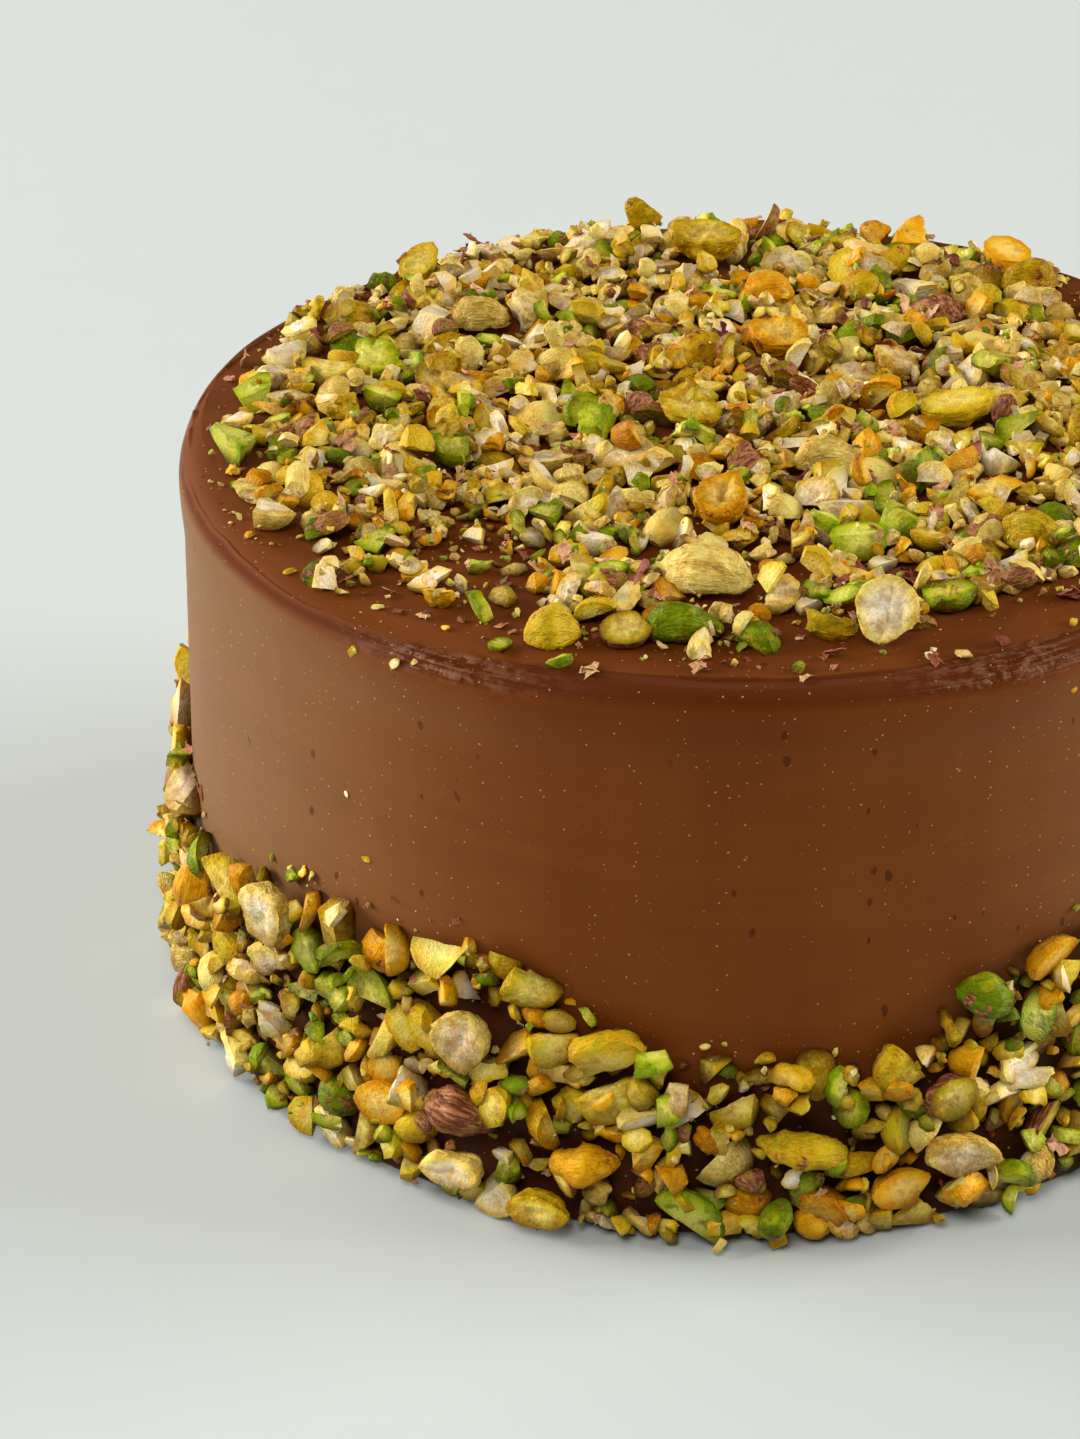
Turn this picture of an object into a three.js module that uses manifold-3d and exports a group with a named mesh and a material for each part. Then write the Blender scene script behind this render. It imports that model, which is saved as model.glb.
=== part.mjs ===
// A round cake in chocolate frosting, with chopped pistachios heaped on its top and pressed round its foot.
// Millimetres, +Z up. The origin is the middle of the foot, and the front of the cake faces -Y.
// Angles go round the cake in degrees, from 0 at the front, positive towards +X.

import * as THREE from "three";
import { mergeVertices } from "three/addons/utils/BufferGeometryUtils.js";
import Module from "manifold-3d";

const wasm = await Module();
wasm.setup();

// Frosted cake
const CAKE_RADIUS = 100;
const CAKE_HEIGHT = 107;
const CAKE_SIDES = 72;
const SHOULDER_WIDTH = 7;
const SHOULDER_DROP = 2.6;
const SHOULDER_RIPPLES = [
  { depth: 0.6, count: 3, phase: 34 },
  { depth: 0.3, count: 7, phase: 120 },
];
const LIP_BULGE = 0.7;
const FOOT_ROUNDING = 1.5;

// Clearances between separate pieces
const GAP = 0.35;
const HALF_CLEARANCE = 0.45;

// Heap of nuts on the top
const TOPPING_REACH = 92;
const TOPPING_SIDES = 48;
const TOPPING_DEPTH = 2.2;
const TOPPING_RIPPLES = [
  { depth: 1.6, count: 5, phase: 52 },
  { depth: 1.2, count: 9, phase: 138 },
];
const FRONT_HOLLOW = { angle: 26, halfWidth: 52, depth: 12 };

// Band of nuts round the foot
const BORDER_HEIGHT = 47;
const BORDER_SIDES = 48;
const BORDER_DEPTH = 2.4;
const BORDER_RIPPLES = [
  { depth: 6, count: 5, phase: -90 },
  { depth: 2, count: 13, phase: 29 },
];
const BORDER_DIP = { angle: 14, halfWidth: 17, depth: 9 };

// Chopped nuts, largest first: how long they are and how many of them there are
const TOPPING_SIZES = [
  { length: 11, count: 30 },
  { length: 9, count: 56 },
  { length: 7, count: 62 },
];
const BORDER_SIZES = [
  { length: 12.5, count: 26 },
  { length: 10.5, count: 56 },
  { length: 8.5, count: 68 },
];
// A patch of the top, left of the front, that has no nuts longer than this
const FINE_PATCH = { x: -55, y: -55, radius: 28, longest: 8 };
const TOPPING_SEED = 4127;
const BORDER_SEED = 9043;
const TOPPING_TILT = 18;
const BORDER_TILT = 12;
const PACKING = 0.8;
const TRIES = 60;
const EDGE_SHARE = 0.3;
const OUTLINE_MARGIN = 2;
const BLOCK_LENGTH = 8.8;
const SEAT = { least: 0.5, most: 1.5 };

// Pistachio halves that lie on the top: place, heading, size, lean towards the front, and which face is up.
// Those at the heap's edge lie on the frosting itself, and the others on the nuts.
const TOP_HALVES = [
  { x: -4, y: -62, heading: -14, size: [17, 11, 7], lean: 0, flatUp: false },
  { x: -8, y: -79, heading: 3, size: [14.5, 8, 6], lean: 0, flatUp: false, atEdge: true },
  { x: 26, y: -78, heading: 80, size: [13, 11, 5], lean: 42, flatUp: true, atEdge: true },
  { x: -2, y: -40, heading: 60, size: [11, 9, 7], lean: 20, flatUp: true },
  { x: 17, y: -16, heading: 8, size: [13, 6, 6], lean: 0, flatUp: false },
  { x: 40, y: 1, heading: 20, size: [15, 8, 6], lean: 12, flatUp: true },
  { x: 8, y: 30, heading: -20, size: [12, 9, 6], lean: 15, flatUp: true },
  { x: 6, y: 56, heading: 15, size: [11, 8, 6], lean: 0, flatUp: false },
  { x: -6, y: 73, heading: -8, size: [14, 9, 7], lean: 10, flatUp: true },
  { x: 56, y: 64, heading: 12, size: [12, 7, 6], lean: 0, flatUp: false },
  { x: 52, y: -45, heading: -25, size: [12, 7, 6], lean: 0, flatUp: false },
  { x: -8, y: -1, heading: -30, size: [13, 8, 5], lean: 18, flatUp: true },
  { x: -48, y: 42, heading: 5, size: [12, 6, 6], lean: 0, flatUp: false },
  { x: -30, y: -81, heading: 25, size: [11, 8, 6], lean: 0, flatUp: false, atEdge: true },
];

// Pistachio halves pressed on the side: angle round the cake, height, heading from level, size, and face
const SIDE_HALVES = [
  { angle: -26, height: 20, heading: -8, size: [15, 8.5, 6], flatOut: false },
  { angle: -26, height: 10, heading: 6, size: [12, 7, 6], flatOut: true },
  { angle: -17, height: 6, heading: 0, size: [12, 7, 6], flatOut: true },
  { angle: -49, height: 46, heading: 40, size: [13, 12, 6], flatOut: true },
  { angle: -25, height: 37, heading: 70, size: [12, 11, 5], flatOut: true },
  { angle: 8, height: 20, heading: -12, size: [17, 7, 6], flatOut: false },
  { angle: 26, height: 46, heading: -20, size: [12, 8, 6], flatOut: false },
  { angle: 23, height: 17, heading: -15, size: [15, 8, 6], flatOut: true },
  { angle: -13, height: 15, heading: 12, size: [13, 7, 6], flatOut: false },
  { angle: 22, height: 29, heading: 40, size: [10, 9, 5], flatOut: true },
  { angle: -68, height: 33, heading: 80, size: [12, 8, 6], flatOut: false },
  { angle: 62, height: 24, heading: 30, size: [14, 8, 6], flatOut: false },
  { angle: 92, height: 38, heading: -35, size: [13, 9, 6], flatOut: true },
  { angle: 124, height: 15, heading: 10, size: [15, 8, 6], flatOut: false },
  { angle: 158, height: 34, heading: 65, size: [12, 9, 6], flatOut: true },
  { angle: -162, height: 18, heading: -20, size: [16, 8, 6], flatOut: false },
  { angle: -128, height: 36, heading: 45, size: [13, 9, 6], flatOut: true },
  { angle: -98, height: 13, heading: -10, size: [14, 8, 6], flatOut: false },
];
const HALF_SIDES = 8;
const HALF_SEAT = 1.6;
const HALF_ROOM = 0.9;

const chocolate = new THREE.MeshStandardMaterial({ color: 0x73452a, roughness: 0.5, metalness: 0 });
const pistachio = new THREE.MeshStandardMaterial({ color: 0xb0a256, roughness: 0.7, metalness: 0 });
const kernel = new THREE.MeshStandardMaterial({ color: 0xc9b96f, roughness: 0.65, metalness: 0 });

const radians = THREE.MathUtils.degToRad;

// Corner radius of the border's inner wall, whose flats then clear the frosting
const BORDER_INSIDE = (CAKE_RADIUS + GAP) / Math.cos(Math.PI / BORDER_SIDES);

// Angle round the cake of a point, in radians from the front
function angleOf(x, y) {
  return Math.atan2(x, -y);
}

// A smooth hump of height 1 at an angle, falling away over its half width, all in degrees
function hump(angle, { angle: middle, halfWidth }) {
  const away = THREE.MathUtils.euclideanModulo(THREE.MathUtils.radToDeg(angle) - middle + 180, 360) - 180;
  return Math.exp(-((away / halfWidth) ** 2));
}

// The sum of some waves round the cake, each with a count of crests and a phase in degrees
function ripple(angle, waves) {
  const heights = waves.map(({ depth, count, phase }) => depth * Math.sin(count * angle + radians(phase)));
  return heights.reduce((sum, height) => sum + height, 0);
}

// Repeatable draws between 0 and 1
function seededDraw(seed) {
  let state = seed >>> 0;
  return () => {
    state = (state + 0x6d2b79f5) >>> 0;
    let mixed = Math.imul(state ^ (state >>> 15), state | 1);
    mixed ^= mixed + Math.imul(mixed ^ (mixed >>> 7), mixed | 61);
    return ((mixed ^ (mixed >>> 14)) >>> 0) / 4294967296;
  };
}

// Moves each vertex of a geometry by a function of its place
function warp(geometry, move) {
  const place = geometry.attributes.position;
  const point = new THREE.Vector3();
  for (let index = 0; index < place.count; index += 1) {
    point.fromBufferAttribute(place, index);
    move(point);
    place.setXYZ(index, point.x, point.y, point.z);
  }
  return geometry;
}

// Turns a profile of radius and height pairs about the upright axis
function turned(profile, sides) {
  const points = profile.map(([radius, height]) => new THREE.Vector2(radius, height));
  return new THREE.LatheGeometry(points, sides).rotateX(Math.PI / 2);
}

// A closed solid from a geometry, with its shared vertices merged
function solidOf(geometry) {
  const bare = geometry.index ? geometry.toNonIndexed() : geometry.clone();
  bare.deleteAttribute("normal");
  bare.deleteAttribute("uv");
  const merged = mergeVertices(bare, 1e-3);
  const corners = merged.index.array;
  const triangles = [];
  for (let index = 0; index < corners.length; index += 3) {
    const [first, second, third] = corners.slice(index, index + 3);
    if (first !== second && second !== third && third !== first) {
      triangles.push(first, second, third);
    }
  }
  return new wasm.Manifold(new wasm.Mesh({
    numProp: 3,
    vertProperties: new Float32Array(merged.attributes.position.array),
    triVerts: new Uint32Array(triangles),
  }));
}

// The largest closed body of a solid, with loose scraps and sealed hollows left out
function mainBody(solid) {
  const bodies = solid.decompose();
  return bodies.reduce((best, body) => (body.volume() > best.volume() ? body : best));
}

// A geometry for a mesh from a solid
function geometryOf(solid) {
  const { vertProperties, triVerts } = solid.getMesh();
  const geometry = new THREE.BufferGeometry();
  geometry.setAttribute("position", new THREE.BufferAttribute(vertProperties, 3));
  geometry.setIndex(new THREE.BufferAttribute(triVerts, 1));
  geometry.computeVertexNormals();
  return geometry;
}

// Frosted cake

// The frosting stands straight up to a slight lip, over which a shoulder leads in to the flat top
function frostedCake() {
  const sideTop = CAKE_HEIGHT - SHOULDER_DROP;
  const lip = CAKE_RADIUS + LIP_BULGE;
  const profile = [
    [0, 0],
    [CAKE_RADIUS - FOOT_ROUNDING, 0],
    [CAKE_RADIUS, FOOT_ROUNDING],
    [CAKE_RADIUS, 0.5 * sideTop],
    [CAKE_RADIUS, 0.8 * sideTop],
    [lip, 0.97 * sideTop],
    [lip - 0.2, sideTop],
    [lip - 0.28 * SHOULDER_WIDTH, CAKE_HEIGHT - 0.55 * SHOULDER_DROP],
    [lip - 0.6 * SHOULDER_WIDTH, CAKE_HEIGHT - 0.2 * SHOULDER_DROP],
    [lip - SHOULDER_WIDTH, CAKE_HEIGHT],
    [0, CAKE_HEIGHT],
  ];
  const geometry = turned(profile, CAKE_SIDES);
  return warp(geometry, (point) => {
    const radius = Math.hypot(point.x, point.y);
    const onShoulder = point.z > 0.9 * sideTop && radius > lip - 0.9 * SHOULDER_WIDTH;
    if (onShoulder) {
      const rise = ripple(angleOf(point.x, point.y), SHOULDER_RIPPLES);
      point.z += Math.min(rise, CAKE_HEIGHT - point.z);
    }
  });
}

// Outlines of the two heaps

// How far out the topping reaches at an angle
function toppingReach(angle) {
  return TOPPING_REACH + ripple(angle, TOPPING_RIPPLES) - FRONT_HOLLOW.depth * hump(angle, FRONT_HOLLOW);
}

// How high the border stands at an angle
function borderTop(angle) {
  return BORDER_HEIGHT + ripple(angle, BORDER_RIPPLES) - BORDER_DIP.depth * hump(angle, BORDER_DIP);
}

// Core of the topping: a low disc of small nuts, out to the topping's outline
function toppingCore() {
  const brink = TOPPING_REACH - TOPPING_DEPTH;
  const profile = [[0, 0], [TOPPING_REACH, 0], [brink, TOPPING_DEPTH], [0, TOPPING_DEPTH]];
  return warp(turned(profile, TOPPING_SIDES), (point) => {
    const stretch = toppingReach(angleOf(point.x, point.y)) / TOPPING_REACH;
    point.set(point.x * stretch, point.y * stretch, point.z + CAKE_HEIGHT + GAP);
  });
}

// Core of the border: a thin band of small nuts, up to the border's outline
function borderCore() {
  const inner = BORDER_INSIDE;
  const outer = inner + BORDER_DEPTH;
  const brink = BORDER_HEIGHT - BORDER_DEPTH;
  const profile = [[inner, 0], [outer, 0], [outer, brink], [inner, BORDER_HEIGHT], [inner, 0]];
  return warp(turned(profile, BORDER_SIDES), (point) => {
    point.z = GAP + (point.z * borderTop(angleOf(point.x, point.y))) / BORDER_HEIGHT;
  });
}

// Chopped nuts

// Places for nuts of each size in turn, spread so that none stands on another
function scattered({ seed, sizes, tilt, spot, fits, apart, taken }) {
  const draw = seededDraw(seed);
  const nuts = [];
  for (const { length, count } of sizes) {
    let placed = 0;
    for (let attempt = 0; attempt < count * TRIES && placed < count; attempt += 1) {
      const { across, along } = spot(draw);
      const clear = (other) => apart(other, across, along) > 0.5 * PACKING * (length + other.length);
      if (!fits(length, across, along) || ![...taken, ...nuts].every(clear)) {
        continue;
      }
      nuts.push({
        across,
        along,
        length,
        size: [
          length * (0.85 + 0.3 * draw()),
          length * (0.6 + 0.3 * draw()),
          length * (0.42 + 0.2 * draw()),
        ],
        heading: 360 * draw(),
        pitch: tilt * (2 * draw() - 1),
        roll: tilt * (2 * draw() - 1),
        seat: SEAT.least + (SEAT.most - SEAT.least) * draw(),
        shape: Math.floor(4294967296 * draw()),
      });
      placed += 1;
    }
  }
  return nuts;
}

// An angular chopped nut, one unit long, wide and high: a block, or if small a point, with uneven corners
function choppedNut(shape, length) {
  const draw = seededDraw(shape);
  const pull = () => 0.72 + 0.36 * draw();
  const pulls = Array.from({ length: 8 }, () => [pull(), pull(), pull()]);
  const small = length < BLOCK_LENGTH;
  const start = small ? new THREE.OctahedronGeometry(0.62) : new THREE.BoxGeometry(1, 1, 1);
  return warp(start, (point) => {
    const corner = (point.x > 0.1 ? 1 : 0) + (point.y > 0.1 ? 2 : 0) + (point.z > 0.1 ? 4 : 0);
    const [pullX, pullY, pullZ] = pulls[corner];
    point.set(point.x * pullX, point.y * pullY, point.z * pullZ);
  });
}

// Frame of a spot on the top: its axes are across, away from the front, and up
function topFrame(x, y) {
  return new THREE.Matrix4().makeTranslation(x, y, CAKE_HEIGHT + GAP);
}

// Frame of a spot on the side: its axes are along the side, up, and outwards
function sideFrame(angle, height) {
  const outward = new THREE.Vector3(Math.sin(angle), -Math.cos(angle), 0);
  const sideways = new THREE.Vector3(Math.cos(angle), Math.sin(angle), 0);
  const up = new THREE.Vector3(0, 0, 1);
  const place = outward.clone().multiplyScalar(BORDER_INSIDE).setZ(height);
  return new THREE.Matrix4().makeBasis(sideways, up, outward).setPosition(place);
}

// A turn by angles in degrees: roll about the length, then pitch, then heading
function turn(heading, pitch, roll) {
  const euler = new THREE.Euler(radians(roll), radians(pitch), radians(heading), "ZYX");
  return new THREE.Matrix4().makeRotationFromEuler(euler);
}

// A turned nut whose lowest point is at its seat over the frame's floor
function settledNut(nut) {
  const geometry = choppedNut(nut.shape, nut.length).scale(...nut.size);
  geometry.applyMatrix4(turn(nut.heading, nut.pitch, nut.roll));
  geometry.computeBoundingBox();
  return geometry.translate(0, 0, nut.seat - geometry.boundingBox.min.z);
}

function nutOnTop(nut) {
  return settledNut(nut).applyMatrix4(topFrame(nut.across, nut.along));
}

// On the side a nut also stays clear of what the cake stands on
function nutOnSide(nut) {
  const geometry = settledNut(nut);
  geometry.computeBoundingBox();
  const height = Math.max(nut.along, 2 * GAP - geometry.boundingBox.min.y);
  return geometry.applyMatrix4(sideFrame(nut.across / CAKE_RADIUS, height));
}

// Share of the way to a heap's outline: often the outline itself, else spread evenly by a power
function outlineShare(draw, power) {
  const atEdge = draw() < EDGE_SHARE;
  const inside = draw() ** power;
  return atEdge ? 1 : inside;
}

// Where a nut may lie on the top, and how far it is from another
function topSpot(draw) {
  const angle = 2 * Math.PI * draw();
  const radius = (toppingReach(angle) - OUTLINE_MARGIN) * outlineShare(draw, 0.5);
  return { across: radius * Math.sin(angle), along: -radius * Math.cos(angle) };
}

function topApart(other, across, along) {
  return Math.hypot(across - other.across, along - other.along);
}

// Whether a nut of this length may lie at a spot on the top
function topFits(length, across, along) {
  const away = Math.hypot(across - FINE_PATCH.x, along - FINE_PATCH.y);
  return length <= FINE_PATCH.longest || away > FINE_PATCH.radius;
}

// Where a nut may lie on the side, as a way round and a height, and how far it is from another
function sideSpot(draw) {
  const angle = 2 * Math.PI * draw() - Math.PI;
  const height = OUTLINE_MARGIN + (borderTop(angle) - 2 * OUTLINE_MARGIN) * outlineShare(draw, 1);
  return { across: CAKE_RADIUS * angle, along: height };
}

function sideApart(other, across, along) {
  const round = 2 * Math.PI * CAKE_RADIUS;
  const way = Math.abs(across - other.across) % round;
  return Math.hypot(Math.min(way, round - way), along - other.along);
}

// Pistachio halves

// A half kernel, one unit long, wide and high, with its flat face on z = 0 and one end narrower
function halfKernel() {
  const profile = [[0, 0], [0.46, 0], [0.5, 0.16], [0.42, 0.6], [0.24, 0.9], [0, 1]];
  return warp(turned(profile, HALF_SIDES), (point) => {
    point.y *= 1 - 0.5 * Math.max(point.x, 0);
  });
}

// A half lying on a frame's floor: its turn, and a copy grown all round to clear a place for it
function halfParts({ heading, size, flip, lean }) {
  const [length, width, height] = size;
  const attitude = turn(heading, 0, flip ? 180 : 0);
  const leaning = new THREE.Matrix4().makeRotationX(radians(lean));
  const shape = (grow) => halfKernel()
    .translate(0, 0, -0.5)
    .scale(length + 2 * grow, width + 2 * grow, height + 2 * grow)
    .applyMatrix4(attitude)
    .applyMatrix4(leaning);
  return { own: shape(0), cleared: shape(HALF_CLEARANCE) };
}

function topHalf(row) {
  const parts = halfParts({ ...row, flip: row.flatUp });
  parts.own.computeBoundingBox();
  const seat = row.atEdge ? 0 : HALF_SEAT;
  const lift = seat - parts.own.boundingBox.min.z;
  const frame = topFrame(row.x, row.y);
  return { ...parts, frame: frame.multiply(new THREE.Matrix4().makeTranslation(0, 0, lift)) };
}

function sideHalf(row) {
  const parts = halfParts({ ...row, flip: row.flatOut, lean: 0 });
  const lift = HALF_SEAT + 0.5 * row.size[2];
  const frame = sideFrame(radians(row.angle), row.height);
  return { ...parts, frame: frame.multiply(new THREE.Matrix4().makeTranslation(0, 0, lift)) };
}

// Space that each half takes up among the chopped nuts
const topTaken = TOP_HALVES.map(({ x, y, size }) => ({ across: x, along: y, length: size[0] * HALF_ROOM }));
const sideTaken = SIDE_HALVES.map(({ angle, height, size }) => (
  { across: CAKE_RADIUS * radians(angle), along: height, length: size[0] * HALF_ROOM }
));

// Fuses nuts to their core, cuts clear of the halves, and keeps the one whole body
function heap(core, nuts, halves) {
  const fused = wasm.Manifold.union([core, ...nuts].map(solidOf));
  const rooms = halves.map(({ cleared, frame }) => solidOf(cleared.applyMatrix4(frame)));
  return geometryOf(mainBody(wasm.Manifold.difference([fused, ...rooms])));
}

function nutTopping(halves) {
  const nuts = scattered({
    seed: TOPPING_SEED,
    sizes: TOPPING_SIZES,
    tilt: TOPPING_TILT,
    spot: topSpot,
    fits: topFits,
    apart: topApart,
    taken: topTaken,
  });
  return heap(toppingCore(), nuts.map(nutOnTop), halves);
}

function nutBorder(halves) {
  const nuts = scattered({
    seed: BORDER_SEED,
    sizes: BORDER_SIZES,
    tilt: BORDER_TILT,
    spot: sideSpot,
    fits: () => true,
    apart: sideApart,
    taken: sideTaken,
  });
  return heap(borderCore(), nuts.map(nutOnSide), halves);
}

// The whole cake
const cake = new THREE.Group();

function addPiece(name, geometry, material) {
  const mesh = new THREE.Mesh(geometry, material);
  mesh.name = name;
  cake.add(mesh);
  return mesh;
}

function addHalves(name, halves) {
  halves.forEach(({ own, frame }, index) => {
    const number = String(index + 1).padStart(2, "0");
    const mesh = addPiece(`${name}_${number}`, own, kernel);
    frame.decompose(mesh.position, mesh.quaternion, mesh.scale);
  });
}

const topHalves = TOP_HALVES.map(topHalf);
const sideHalves = SIDE_HALVES.map(sideHalf);
addPiece("frosted_cake", frostedCake(), chocolate);
addPiece("nut_topping", nutTopping(topHalves), pistachio);
addPiece("nut_border", nutBorder(sideHalves), pistachio);
addHalves("top_half", topHalves);
addHalves("side_half", sideHalves);

export default cake;
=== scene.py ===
"""A round chocolate cake with chopped pistachios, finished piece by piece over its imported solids."""

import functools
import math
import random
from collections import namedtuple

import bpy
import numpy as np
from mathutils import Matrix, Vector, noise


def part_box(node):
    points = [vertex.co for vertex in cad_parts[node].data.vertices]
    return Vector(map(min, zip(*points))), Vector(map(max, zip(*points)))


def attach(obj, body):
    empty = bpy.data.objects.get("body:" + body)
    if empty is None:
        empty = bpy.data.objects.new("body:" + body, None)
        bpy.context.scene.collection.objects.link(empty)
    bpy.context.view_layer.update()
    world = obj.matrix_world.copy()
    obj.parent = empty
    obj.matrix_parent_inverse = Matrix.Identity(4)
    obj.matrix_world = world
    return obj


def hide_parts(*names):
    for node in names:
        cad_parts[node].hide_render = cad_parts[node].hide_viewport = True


bl_info = {
    "name": "Pistachio Cake",
    "version": (1, 0, 0),
    "blender": (4, 5, 0),
    "location": "View3D > Sidebar > Cake",
    "description": "Frosting, pistachio halves, chopped nuts and crumbs of a round chocolate cake",
    "category": "Object",
}

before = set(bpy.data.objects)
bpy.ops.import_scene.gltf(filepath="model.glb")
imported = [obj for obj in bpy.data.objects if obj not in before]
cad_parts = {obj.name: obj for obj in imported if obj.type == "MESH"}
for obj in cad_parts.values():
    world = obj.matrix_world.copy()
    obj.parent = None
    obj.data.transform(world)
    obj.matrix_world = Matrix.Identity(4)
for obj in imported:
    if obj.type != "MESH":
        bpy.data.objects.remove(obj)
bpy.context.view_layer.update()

# Lengths below are in millimetres, and meshes are made in metres
MM = 0.001

# Sizes of the frosted cake, from its solid
FROSTING_LOW, FROSTING_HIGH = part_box("frosted_cake")
LIP_BULGE = 0.7
CAKE_RADIUS = round((FROSTING_HIGH.x - FROSTING_LOW.x) / 2 / MM - LIP_BULGE, 2)
CAKE_HEIGHT = round(FROSTING_HIGH.z / MM, 2)
LIP_RADIUS = CAKE_RADIUS + LIP_BULGE
SHOULDER_WIDTH = 7.0
SHOULDER_DROP = 2.6
SHOULDER_DEPTH = 5.7
SHOULDER_ROUNDING = 2.4
SHOULDER_RIPPLES = ((0.6, 3, 34), (0.3, 7, 120))
FOOT_ROUNDING = 1.5
SIDE_TOP = CAKE_HEIGHT - SHOULDER_DROP
CREASE_RADIUS = 96.4
CREASE_RIPPLES = ((3.2, 2, 240), (0.5, 7, 20))

# Stretches of the shoulder where the frosting tore as it was smoothed: the middle and half width of each
TORN_STRETCHES = ((-29, 9), (29, 9), (98, 7), (151, 10), (-92, 6), (-140, 9))

# Outlines of the two heaps of nuts, as the solids have them: depth, count and phase of each ripple
GAP = 0.35
TOPPING_REACH = 92
TOPPING_RIPPLES = ((1.6, 5, 52), (1.2, 9, 138))
FRONT_HOLLOW = (26, 52, 12)
BORDER_HEIGHT = 47
BORDER_RIPPLES = ((6, 5, -90), (2, 13, 29))
BORDER_DIP = (14, 17, 9)

# Rules by which the solids place their chopped nuts, with the least share and the spread of a nut's sizes
SOLID_SHAPE = ((0.85, 0.3), (0.6, 0.3), (0.42, 0.2))
DRAW_STEPS = 2**32
PACKING = 0.8
TRIES = 60
EDGE_SHARE = 0.3
OUTLINE_MARGIN = 2
SEAT_LEAST = 0.5
SEAT_MOST = 1.5
HALF_ROOM = 0.9
FINE_PATCH = (-55, -55, 28, 8)

# How deep those nuts are pressed in here, the share of their height by which they raise the heap, and how
# wide for their length and how high the halves are
PRESSED_IN = 0.8
SOLID_RAISED = 0.95
HALF_WIDTH = 0.6
HALF_HEIGHT = 6.5

# Smaller chopped nuts that fill in between them: length, count on the top and count on the side
FILLING_SIZES = (
    (8.4, 90, 190),
    (7.0, 210, 250),
    (5.6, 320, 250),
    (4.4, 340, 250),
    (3.3, 360, 260),
    (2.4, 520, 280),
)
FILLING_SHAPE = ((0.75, 1.3), (0.5, 0.9), (0.38, 0.66))
FILLING_SEED = 611
FILLING_CHOICES = 4
FILLING_TILT = 26

# How a small thing rests: the share of its length over which it feels the ground, the share of its height
# that piles up and that sinks in, and how much longer it counts at the patch of fine bits
FOOT_SHARE = 0.3
PILED_SHARE = 0.7
SUNK_SHARE = 0.12
FINE_ROOM = 2

# Where small things lie: the share of each heap's outline that they reach and over which they thin out,
# then the bare patches in front on the top: where they begin, over how far they set in, how wide and deep
# they are, their seed, where their edges fall, how bare they are, and how much of that spilt bits fill
TOPPING_OVER = 1.03
TOPPING_FADE = 0.14
BORDER_OVER = 1.04
BORDER_FADE = 0.12
BARE_FROM = 25
BARE_RUN = 30
BARE_WIDE = 15
BARE_DEEP = 11
BARE_SEED = 3.7
BARE_EDGE = (-0.02, 0.16)
BARE_SHARE = 0.88
BARE_SPILL = 4

# Small things strewn over both heaps: seed, least and most length, and height as a share of the length
Strewn = namedtuple("Strewn", "seed least most flatness")
FLAKES = Strewn(305, 1.4, 4.6, 0.3)
CRUMBS = Strewn(88, 0.45, 2.0, 0.6)
STREWN_CHOICES = 2
STREWN_SPILL = 0.09
STREWN_TILT = 22
STREWN_WIDTHS = (0.5, 0.9)
STREWN_HEIGHTS = (0.7, 1.3)

# Bits outside the heaps: on the top and the shoulder by place, and on the side by angle and height
Stray = namedtuple("Stray", "across along length kind", defaults=(None,))
STRAY_SHAPE = ((0.5, 0.8), (0.3, 0.5))
STRAY_TILT = 4
STRAY_FLAKE_SHAPE = ((0.45, 0.7), (0.2, 0.35))
STRAY_FLAKE_TILT = 15
STRAY_FLAKES = (
    Stray(-23.2, -92.5, 5.5),
    Stray(28.9, -57.5, 7.0),
    Stray(58.1, -63.1, 6.0),
    Stray(34.2, -87.0, 3.2),
    Stray(45.8, -80.1, 5.0),
    Stray(17.2, -89.5, 2.6),
    Stray(12.5, -94.0, 3.4),
    Stray(-15.4, -69.7, 6.0),
    Stray(45.0, -63.6, 5.0),
    Stray(-52.0, -74.0, 3.2),
    Stray(-66.0, -62.0, 2.8),
)
SHOULDER_STRAYS = (
    Stray(-28.3, -90.2, 4.4, "green"),
    Stray(-38.5, -85.3, 5.0, "green"),
    Stray(1.8, -80.8, 5.0, "pale"),
    Stray(11.7, -90.4, 3.2, "green"),
    Stray(33.5, -85.2, 2.6, "pale"),
    Stray(39.1, -84.8, 3.0, "pale"),
    Stray(-76.0, -58.0, 2.6, "olive"),
    Stray(-70.0, -64.0, 2.0, "pale"),
    Stray(-84.0, -44.5, 2.2, "golden"),
    Stray(-60.0, -71.0, 2.4, "pale"),
    Stray(-48.0, -78.0, 2.0, "golden"),
    Stray(58.0, -72.0, 2.6, "olive"),
    Stray(86.0, 38.0, 2.8, "pale"),
    Stray(-40.0, 86.0, 2.4, "golden"),
)
SIDE_STRAYS = (
    Stray(-39.5, 102.0, 2.6, "olive"),
    Stray(-34.0, 103.2, 3.0, "pale"),
    Stray(-32.0, 104.2, 1.7, "pale"),
    Stray(-31.5, 100.3, 1.3, "skinned"),
    Stray(-40.9, 73.3, 1.2, "pale"),
    Stray(-38.3, 62.2, 1.7, "olive"),
    Stray(-1.7, 38.9, 2.0, "pale"),
    Stray(18.9, 35.0, 3.4, "olive"),
    Stray(35.2, 99.8, 2.0, "golden"),
    Stray(104.0, 66.0, 1.6, "pale"),
    Stray(171.0, 58.0, 2.2, "olive"),
    Stray(-112.0, 71.0, 1.8, "golden"),
)

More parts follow.
